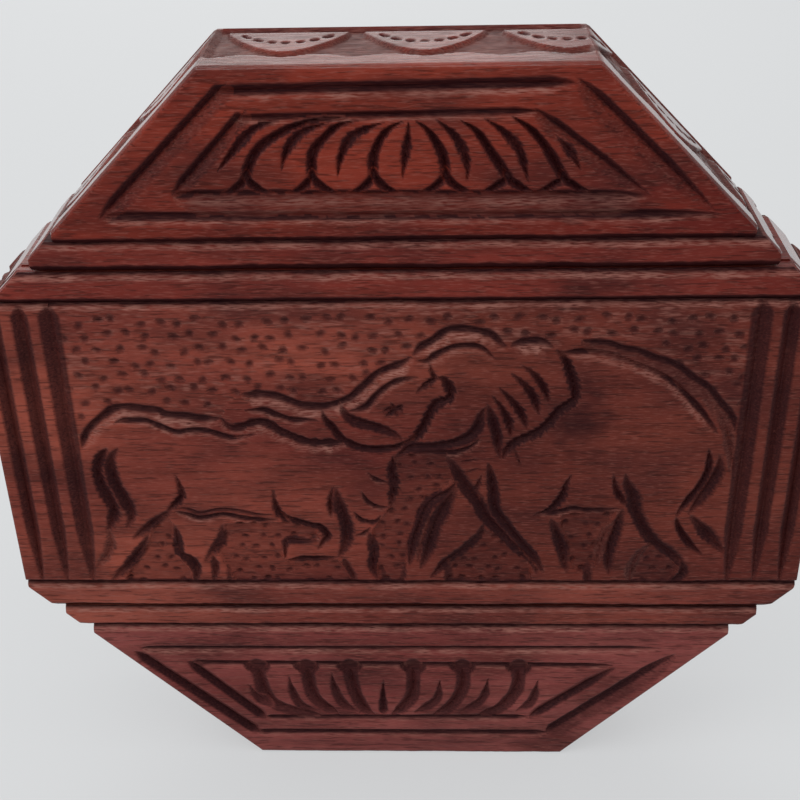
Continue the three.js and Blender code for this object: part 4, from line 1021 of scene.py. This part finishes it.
small_elephant = [
    ("outline", [(-71.5, 91.5), (-70, 95.5), (-67.5, 98.5), (-65, 100.5), (-63, 102), (-60.5, 102.5),
                 (-56.5, 102), (-53, 101.5), (-51.5, 100.5), (-47, 100), (-44, 99.5), (-39.5, 99.5)]),
    ("crease", [(-63.5, 98), (-61.5, 99), (-59, 99), (-56.5, 99), (-54, 98), (-52, 97), (-49.5, 96),
                (-47, 96.5), (-44.5, 96.5), (-42, 96), (-39.5, 95), (-37, 94.5), (-34.5, 95), (-32, 95.5)]),
    ("wide", [(-40, 100), (-39, 98.5), (-37.5, 97), (-35.5, 97)]),
    ("tail", [(-65.5, 92), (-67.5, 89.5), (-68.6, 86), (-68.3, 82), (-67, 78), (-66.3, 75), (-67.4, 71.5),
              (-68.6, 69)]),
    ("soft", [(-68, 70), (-68, 66), (-69.5, 62.5), (-72.5, 59)]),
    ("broad", [(-63, 92), (-65, 89.5), (-65.5, 86.5), (-65, 82.5), (-63.8, 79), (-62.8, 76), (-62.4, 73.5),
               (-64, 70)]),
    ("slash", [(-51.2, 85), (-50.5, 81.5), (-50.5, 79), (-52.5, 76.5), (-54.5, 74.5)]),
    ("fine", [(-52, 76), (-49, 75.5), (-46.5, 74.5), (-42, 75.5), (-37.5, 75), (-33.5, 74), (-30, 74)]),
    ("crease", [(-52.5, 75), (-49.5, 74), (-46.5, 73), (-41.5, 74), (-37, 73), (-32.5, 72.5),
                (-28.5, 72.5)]),
    ("broad", [(-53, 75.5), (-56.5, 72.5), (-59.5, 70), (-63, 67)]),
    ("broad", [(-59, 68.5), (-61.5, 64), (-64.5, 60), (-66.5, 58), (-69.5, 55)]),
    ("wide", [(-53, 71.5), (-52.5, 67.5), (-52.5, 63), (-50, 61), (-49, 58), (-50, 53.5)]),
    ("broad", [(-41.8, 71.5), (-42.5, 67), (-44, 64.5), (-47, 60.5)]),
    ("wide", [(-45, 63), (-44.5, 58.5), (-45.5, 54.5)]),
    ("broad", [(-41.5, 59.5), (-41.5, 53.5)]),
    ("slash", [(-29.6, 81), (-29.5, 77), (-28.5, 74), (-26.5, 72.5), (-23.5, 71.8)]),
    ("line", [(-28.5, 74.5), (-26.5, 73), (-24.5, 72), (-21.5, 71), (-19.5, 70.5), (-18, 68), (-19, 66.5),
              (-20.5, 64)]),
    ("line", [(-28, 61.5), (-28, 65), (-27, 66.5), (-24, 66.5), (-20, 66.5)]),
    ("line", [(-28, 61), (-23.5, 61.5), (-20, 61.5), (-15.5, 62)]),
    ("slash", [(-16, 82), (-17, 78), (-17, 73)]),
    ("broad", [(-15.6, 81.5), (-15, 76.5), (-14, 73), (-13.5, 69.5), (-14, 65.5), (-16, 61.5)]),
    ("broad", [(-14.8, 62), (-13.5, 58.5), (-12.5, 56), (-12.5, 53.5)]),
    ("wide", [(-8.6, 69.5), (-8, 66.5), (-7.5, 63), (-8, 59), (-6.5, 55)]),
    ("scallop", [(-8.5, 85.5), (-6.5, 83.5), (-3.5, 82.5)]),
    ("scallop", [(-10, 80.5), (-8.5, 77.5), (-6, 76), (-3.5, 76)]),
    ("scallop", [(-12, 75), (-10, 72.5), (-7, 72), (-5.5, 74)]),
    ("scallop", [(-12, 68), (-10, 68.5), (-8, 70.5)]),
    ("rough", [(-2.5, 90), (-3, 85.5), (-2.5, 82), (-3, 79), (-3.6, 75.5)]),
]

leg_grounds = [
    [(-54, 74.5), (-58, 70), (-60, 65), (-65.5, 57), (-66, 54.5), (-50, 54.5), (-50, 58), (-52, 61),
     (-52.5, 67.5), (-53, 71)],
    [(-41.5, 71.5), (-33, 72), (-27.5, 72), (-21, 70.5), (-19.5, 67), (-27, 66.5), (-28.5, 62), (-27, 60.5),
     (-16, 61.5), (-14, 58.5), (-12.5, 54.5), (-40, 54.5), (-42.5, 60), (-44, 64.5), (-42, 69)],
    [(-2.5, 90), (9.5, 90), (11, 83), (6.5, 78), (4, 75), (2.6, 71), (1.2, 66), (0, 59.5), (-1, 54.5),
     (-6.5, 54.5), (-8, 63), (-8, 69.5), (-5.5, 73.5), (-3, 77)],
    [(17.5, 70), (12.5, 64), (9, 60), (9, 54.5), (29, 54.5), (28.5, 60.5), (21.5, 68.5)],
    [(34.5, 74), (47.5, 75), (44.5, 68), (43.5, 59), (40.5, 57), (38, 59), (36.5, 64), (35, 70)],
    [(55.5, 67), (60, 62.5), (62.5, 59), (61, 54.5), (51.5, 54.5), (51.2, 58), (53, 62)],
]

back_line = [(-73.5, 88), (-71.5, 92), (-70, 95.5), (-67.5, 98.5), (-65, 100.5), (-63, 102), (-60.5, 102.5),
             (-56.5, 102), (-53, 101.5), (-51.5, 100.5), (-47, 100), (-44, 99.5), (-39.5, 99.5), (-38, 103),
             (-35, 105.5), (-30, 105.5), (-27, 105), (-22.5, 103), (-20, 102.5), (-17, 102.5), (-12.5, 104),
             (-8, 108), (-3.5, 111.6), (2, 114.5), (3.5, 116.5), (9, 120.5), (12, 121), (15.5, 120.5),
             (18.5, 119.5), (22, 116.5), (23.5, 117.5), (26, 118), (29, 118), (31.5, 116.5), (37, 118),
             (43.5, 117), (49, 115.5), (55, 113), (61, 109), (66.5, 104), (70.5, 98.5), (72, 94.5),
             (73.5, 84)]


def above_backs(across, up):
    """Height over the elephants' backs"""
    xs, zs = np.array(back_line).T
    return up - np.interp(across, xs, zs)


def nail_spots(low, high, pitch, seed):
    """A loose grid of nail marks between two corners"""
    rng = np.random.default_rng(seed)
    spots = []
    for row in range(int((high[1] - low[1]) / pitch[1]) + 1):
        for column in range(int((high[0] - low[0]) / pitch[0]) + 1):
            x = low[0] + (column + 0.5 * (row % 2)) * pitch[0] + rng.uniform(-0.27, 0.27) * pitch[0]
            z = low[1] + row * pitch[1] + rng.uniform(-0.27, 0.27) * pitch[1]
            spots.append((x, z))
    return np.array(spots)


def ground_marks(face, seed):
    """Uneven scraping of a sunk ground"""
    return grit(face.across, face.up, 5.0, 0.8, seed) + 0.8 * grit(face.across, face.up, 1.6, 0.45, seed + 1)


def flutes(face):
    """Upright flutes: the first one hides the seam between the panel and the end block"""
    for side in (-1, 1):
        for i, (x, width) in enumerate(((73.6, 4.8), (79.7, 4.0), (85.6, 3.8))):
            points = [(side * x, 54.4), (side * (x + 0.1), 90), (side * x, 126.8)]
            widths = [width * 0.9, width, width * 1.05]
            face.cut(points, widths, 1.4, taper=(15, 2.5), stain_and_shade=0.86, ragged=0.02, seed=300 + i)


def elephants(face):
    """The sunk grounds with their nail marks, then the strokes in the order they were cut"""
    ground_depth = 0.34
    leg_ground_depth = 0.95
    open_ground = np.clip(above_backs(face.across, face.up) / 0.5, 0, 1)
    marks = ground_marks(face, 310)
    face.depth += open_ground * (ground_depth + 0.14 * marks)
    face.torn_and_highlight = np.clip(marks * 0.45, 0, 0.4) * open_ground
    spots = nail_spots((-71, 80), (71, 125), (4.4, 3.3), 312)
    spots = spots[above_backs(spots[:, 0], spots[:, 1]) > 1.2]
    face.punch(spots, 1.08, 0.45, stain_and_shade=0.8)
    for i, corners in enumerate(leg_grounds):
        found = np.nonzero(is_inside(corners, face.across, face.up))[0]
        distance = face.measure(np.array(corners + corners[:1], dtype=float), found)[0]
        rough = 0.14 * grit(face.across[found], face.up[found], 1.4, 1.1, 320 + i)
        face.depth[found] = leg_ground_depth * np.clip(distance / 0.7, 0, 1) + rough
        face.stain_and_shade[found] = 0.34 * np.clip(distance / 0.8, 0, 1)
        xs = [x for x, z in corners]
        spots = nail_spots((min(xs), 55), (max(xs), 92), (3.6, 3.2), 330 + i)
        spots = spots[is_inside(corners, spots[:, 0], spots[:, 1])]
        face.punch(spots, 0.95, 0.5, stain_and_shade=0.9)
    for i, (kind, points) in enumerate(small_elephant + large_elephant):
        width, depth, lean, taper, stain_and_shade, ragged, teeth, torn_and_highlight, reach, wash = cut_kinds[kind]
        face.cut(points, width, depth, lean=lean, taper=taper, stain_and_shade=stain_and_shade, ragged=ragged, teeth=teeth,
                 torn_and_highlight=torn_and_highlight, reach=reach, wash=wash, seed=340 + i)
    for x, z, half_across, half_up, stain_and_shade in dark_clouds:
        face.dark_cloud(x, z, half_across, half_up, stain_and_shade)
    flutes(face)


def panel_half(z):
    """The panels' straight ends"""
    return np.full(np.shape(z), post_inner)


front_panel = shape_board(
    "front_panel_carved", floor_top, panel_top, panel_half, (430, 1, 215), ("front",), back=-panel_inner,
    worn=0, front_work=elephants, edged=("front",), seed=350)
# The bore of the peg that stops the keyhole slide
cut_away(front_panel, [round_bar(0, -12, 2.3, 119.7, 128)])
finish(front_panel, panel_wood, "carcass", "front_panel")

# Back panel
# The same board behind, with a plain matted ground inside a single border. It closes the
# compartment from the rear, and the flutes run over its seams as they do in front.


def back_ground(face):
    """A border of four grooves round a scraped ground with nail marks"""
    face.groove((-68.5, 121.6), (68.5, 121.8), 2.6, 1.1, -0.45, taper=(3, 3), seed=400)
    face.groove((-68.5, 59.6), (68.5, 59.4), 2.6, 1.1, -0.45, taper=(3, 3), seed=401)
    for side in (-1, 1):
        face.groove((68 * side, 122), (68 * side, 59), 2.6, 1.1, 0, taper=(2, 2), reach=1, torn_and_highlight=0, seed=402)
    inner = (np.abs(face.across) < 65) & (face.up > 62) & (face.up < 119.5)
    marks = ground_marks(face, 403)
    face.depth[inner] += 0.28 + 0.12 * marks[inner]
    face.torn_and_highlight[inner] = np.clip(marks[inner] * 0.45, 0, 0.4)
    face.punch(nail_spots((-63, 63.5), (60, 118), (4.9, 4.1), 405), 0.95, 0.5, stain_and_shade=0.85)
    flutes(face)


back_panel = shape_board(
    "back_panel_carved", floor_top, panel_top, panel_half, (300, 1, 150), ("back",), front=panel_inner,
    worn=0, back_work=back_ground, seed=410)
smooth_shade(back_panel)
finish(back_panel, panel_wood, "carcass", "back_panel")

# End blocks
# An upright post at each end, fluted in front and behind, with a tongue that fits between the
# panels and closes the compartment. The right one is mortised for the lock bolt.
compartment_end = 59.0
lock_x = 68.0
bolt_bottom = 114.6


def post_half(z):
    """The octagon's outline, narrowed at 45 degrees towards the foot"""
    return np.minimum(octagon_half(z), octagon_half(np.array(floor_top)) - 1 + (z - floor_top))


def bolt_hole(low, high):
    """A cutter for the bolt's way through a layer"""
    return bar(lock_x - 6.3, lock_x + 6.3, -2.3, 2.3, low, high)


def post_facet(face, side):
    facet_petals(face, (9.0, 36.5, 64.0))


for side, name, end in ((-1, "left_end_block", "left"), (1, "right_end_block", "right")):
    post = shape_board(
        name + "_carved", floor_top, panel_top, post_half, (48, 60, 200), ("front", "back", end), worn=0.9,
        front_work=flutes, back_work=flutes, end_work=post_facet, inner_end=-side, seed=430 + side)
    tongue_ends = sorted((side * compartment_end, side * (post_inner + 0.2)))
    tongue = bar(*tongue_ends, -panel_inner, panel_inner, floor_top + 0.01, panel_top - 0.01)
    cut_away(post, [tongue], "UNION")
    if side > 0:
        cut_away(post, [bolt_hole(bolt_bottom - slide_gap, panel_top + 1)])
    finish(post, panel_wood, "carcass", name)

# Rail frame, keyhole slide and lock
# The layer over the panels is a frame round the compartment's mouth. Two half-dovetail rails on
# it carry the lid, a brass plate guards the keyhole, and the bar in front of it slides to the
# left on a dovetail tongue to bare the keyhole. The bolt rises in the frame into the lid.
rail_frame_top = 134.0
frame_front = -10.0
slide_back = -10.3
keyhole_z = 129.6
seam_middle = 130.5
frame_chamfer = 2.0


def prism_along_x(section, x0, x1):
    """A strip with a (y, z) section"""
    bm = bmesh.new()
    corners = [bm.verts.new(Vector((x0, y, z)) * millimetre) for y, z in section]
    face = bm.faces.new(corners)
    grown = bmesh.ops.extrude_face_region(bm, geom=[face])
    moved = [v for v in grown["geom"] if isinstance(v, bmesh.types.BMVert)]
    bmesh.ops.translate(bm, vec=Vector((x1 - x0, 0, 0)) * millimetre, verts=moved)
    bmesh.ops.recalc_face_normals(bm, faces=bm.faces)
    return bm


def tongue_section(grow, front):
    """The dovetail that the keyhole slide runs on; its groove is grown by the gap"""
    neck = 0.8 + grow
    head = 1.6 + grow
    tip = slide_back + 1.7 + grow
    return [(front, seam_middle - neck), (slide_back, seam_middle - neck), (tip, seam_middle - head),
            (tip, seam_middle + head), (slide_back, seam_middle + neck), (front, seam_middle + neck)]


upper_wood = hardwood("stained_upper_layer_wood", (0.145, 0.019, 0.0135, 1), (0.260, 0.041, 0.028, 1))
rail_frame = shape_board(
    "rail_frame_carved", panel_top, rail_frame_top, notched(panel_top), (380, 40, 20),
    ("back", "left", "right"), front=frame_front, high_edge=frame_chamfer, back_work=layer_marks,
    edged=("back",), seed=450)
# The compartment's mouth, the bolt's way, the tongue's groove, and the escutcheon's recess with the keyhole
cut_away(rail_frame, [
    bar(-57, 57, -6.2, 6.2, panel_top - 1, rail_frame_top + 1),
    bolt_hole(panel_top - 1, rail_frame_top + 1),
    prism_along_x(tongue_section(slide_gap, frame_front - 1), -110, 50.3),
    bar(lock_x - 6.5, lock_x + 6.5, frame_front - 1, frame_front + 0.8, 127.6, 133.4),
    bar(lock_x, lock_x + 3.9, frame_front, 0, keyhole_z - 1.1, keyhole_z + 1.1),
    bar(lock_x - 1.5, lock_x + 1.5, frame_front, 0, keyhole_z - 1.5, keyhole_z + 1.5)])
finish(rail_frame, upper_wood, "carcass", "rail_frame")
rail_wood = bare_hardwood("planed_rail_wood", (0.08, 1, 1))
keep(rail_wood, "front_rail", "back_rail")
keep(turned_wood, "rail_dowel_left", "rail_dowel_right", "cover_stop_peg")
keep(brass, "escutcheon", "lock_bolt")

keyhole_slide = shape_board(
    "keyhole_slide_carved", panel_top + slide_gap, rail_frame_top - slide_gap, notched(panel_top),
    (400, 10, 20), ("front", "left", "right"), back=slide_back, low_edge=loose_chamfer,
    high_edge=frame_chamfer - slide_gap, front_work=layer_marks, edged=("front",), seed=470)
# The stop peg's groove is cut, and the dovetail tongue is added.
cut_away(keyhole_slide, [bar(-1.3, 29.3, -13.3, slide_back + 1, panel_top - 1, 129.6)])
cut_away(keyhole_slide, [prism_along_x(tongue_section(0, slide_back - 0.5), -70, 50)], "UNION")
finish(keyhole_slide, upper_wood, "cover", "keyhole_slide")

# Lid board
# The lower board of the sliding lid. Two half-dovetail grooves, open at the right end, ride on
# the rails.
lid_bottom = rail_frame_top + slide_gap
lid_board_top = 140.5


def rail_groove(side):
    """A half-dovetail groove, in front or behind"""
    inner = 6.5
    low = rail_frame_top - 0.3
    high = rail_frame_top + 3.8
    points = [(inner - 0.3, low), (inner + 2.9, low), (inner + 4.5, high), (inner - 0.3, high)]
    return prism_along_x([(side * y, z) for y, z in points], -60.3, 110)


lid_board = shape_board(
    "lid_board_carved", lid_bottom, lid_board_top, notched(lid_bottom, 2.8), (380, 48, 18), low_edge=1.7,
    front_work=layer_marks, back_work=layer_marks, seed=490)
cut_away(lid_board, [rail_groove(-1), rail_groove(1), bolt_hole(lid_bottom - 1, 136.4)])
finish(lid_board, upper_wood, "lid", "lid_board")
keep(turned_wood, "lid_dowel_left", "lid_dowel_right")

# Lid block
# The upper block is glued and dowelled on the lid board. Its front and back carry a double border
# round lotus petals that fan out from the top, and a row of low petals runs over its facets.


def upper_petals(face):
    """A double border round lotus petals that fan out from the top"""
    face.border([
        ((-34, 171.4), (33.5, 172.3), 4.0, 1.4, -0.15, (0, 5), 0.5, 0.9, 0.0),
        ((-59.5, 146.4), (62.5, 146.0), 3.6, 1.2, -0.25, (2, 12), 0.6, 0.9, 0.0),
        ((-34, 171.4), (-60, 145.8), 4.6, 1.5, 0.30, (0, 5), 0.2, 0.1, 0.42),
        ((33.6, 173.2), (61.5, 146.6), 5.2, 1.5, -0.35, (6, 14), 0.2, 0.1, 0.34),
        ((-30.5, 166.3), (27, 167.0), 2.8, 1.1, -0.25, (0, 5), 0.5, 0.8, 0.0),
        ((-45, 151.0), (49, 150.0), 4.4, 1.3, -0.40, (2, 8), 0.52, 1.0, 0.0)], 511)
    wide_flat = [(-43, 148.4), (47, 147.9)]
    face.cut(wide_flat, 4.8, 0.35, taper=(3, 3), stain_and_shade=0.45, torn_and_highlight=0.6, smooth=False, seed=519)
    face.border([
        ((-30.5, 166.3), (-45, 150.6), 3.8, 1.4, 0.3, (0, 4), 0.25, 0.1, 0.5),
        ((25.5, 167.6), (48.8, 149.8), 4.4, 1.4, -0.35, (5, 12), 0.25, 0.15, 0.36)], 517)
    gaps = [[(-9, 166), (-16, 165.5), (-21, 164), (-25.5, 161.5), (-28, 159), (-29.5, 156), (-30, 154)],
            [(-7.5, 165.5), (-11.5, 164.5), (-14.5, 162), (-16.5, 159.5), (-17, 157), (-17, 154)],
            [(1.5, 165.5), (-1.5, 164), (-3.5, 161.8), (-5, 158), (-5, 154.2)],
            [(3, 165.5), (5.5, 163.5), (8, 159.5), (8.8, 156.5), (9, 154)],
            [(11.5, 165.5), (15, 163), (18, 158.5), (20, 155.5), (21, 153.6)],
            [(21, 166.3), (25, 163.5), (28, 160), (30.5, 156), (31.8, 153.4)]]
    petal_gaps(face, 151.2, gaps, 520)
    slits = [[(-22.5, 165.6), (-27, 164.5), (-30.5, 161.5), (-35.5, 155.5)],
             [(-13, 165.2), (-18, 163.5), (-20.5, 161.5), (-22, 159), (-23, 155.5)],
             [(-2.5, 165.2), (-8, 163), (-10, 161), (-11.5, 157.5), (-12, 154)],
             [(2, 165.5), (1.6, 161), (1, 157), (0.5, 153.6)],
             [(7, 165.7), (10.5, 162.5), (12.5, 159), (13.2, 155.5), (13, 153)],
             [(16, 165.8), (20, 163), (23, 159.5), (24.2, 156), (25, 152.8)],
             [(29.5, 162.6), (33, 158.8), (35, 155)]]
    for i, points in enumerate(slits):
        face.cut(points, [1.1, 1.9, 2.7, 2.0, 1.1], 1.1, taper=(4, 4), ragged=0.1, teeth=0.28, seed=540 + i)
    face.tool_marks(0.13, 550)


def top_petals(face):
    """The facets' petals, turned so that they run along the top"""
    turned = CarvedFace(face.up, face.across)
    facet_petals(turned, (-22.5, 5.0, 33.0))
    face.depth = turned.depth
    face.stain_and_shade = turned.stain_and_shade
    face.torn_and_highlight = turned.torn_and_highlight


def lid_ends(face, side):
    facet_petals(face, (54.7, 26.2, -2.0) if side > 0 else (65.5, 37.2, 9.0))


lid_block = shape_board(
    "lid_block_carved", lid_board_top, box_height, notched(lid_board_top), (360, 48, 94),
    (*all_round, "top"), high_edge=0, worn=1.5, front_work=upper_petals, back_work=upper_petals,
    end_work=lid_ends, top_work=top_petals, seed=550)
smooth_shade(lid_block)
finish(lid_block, block_wood, "lid", "lid_block")
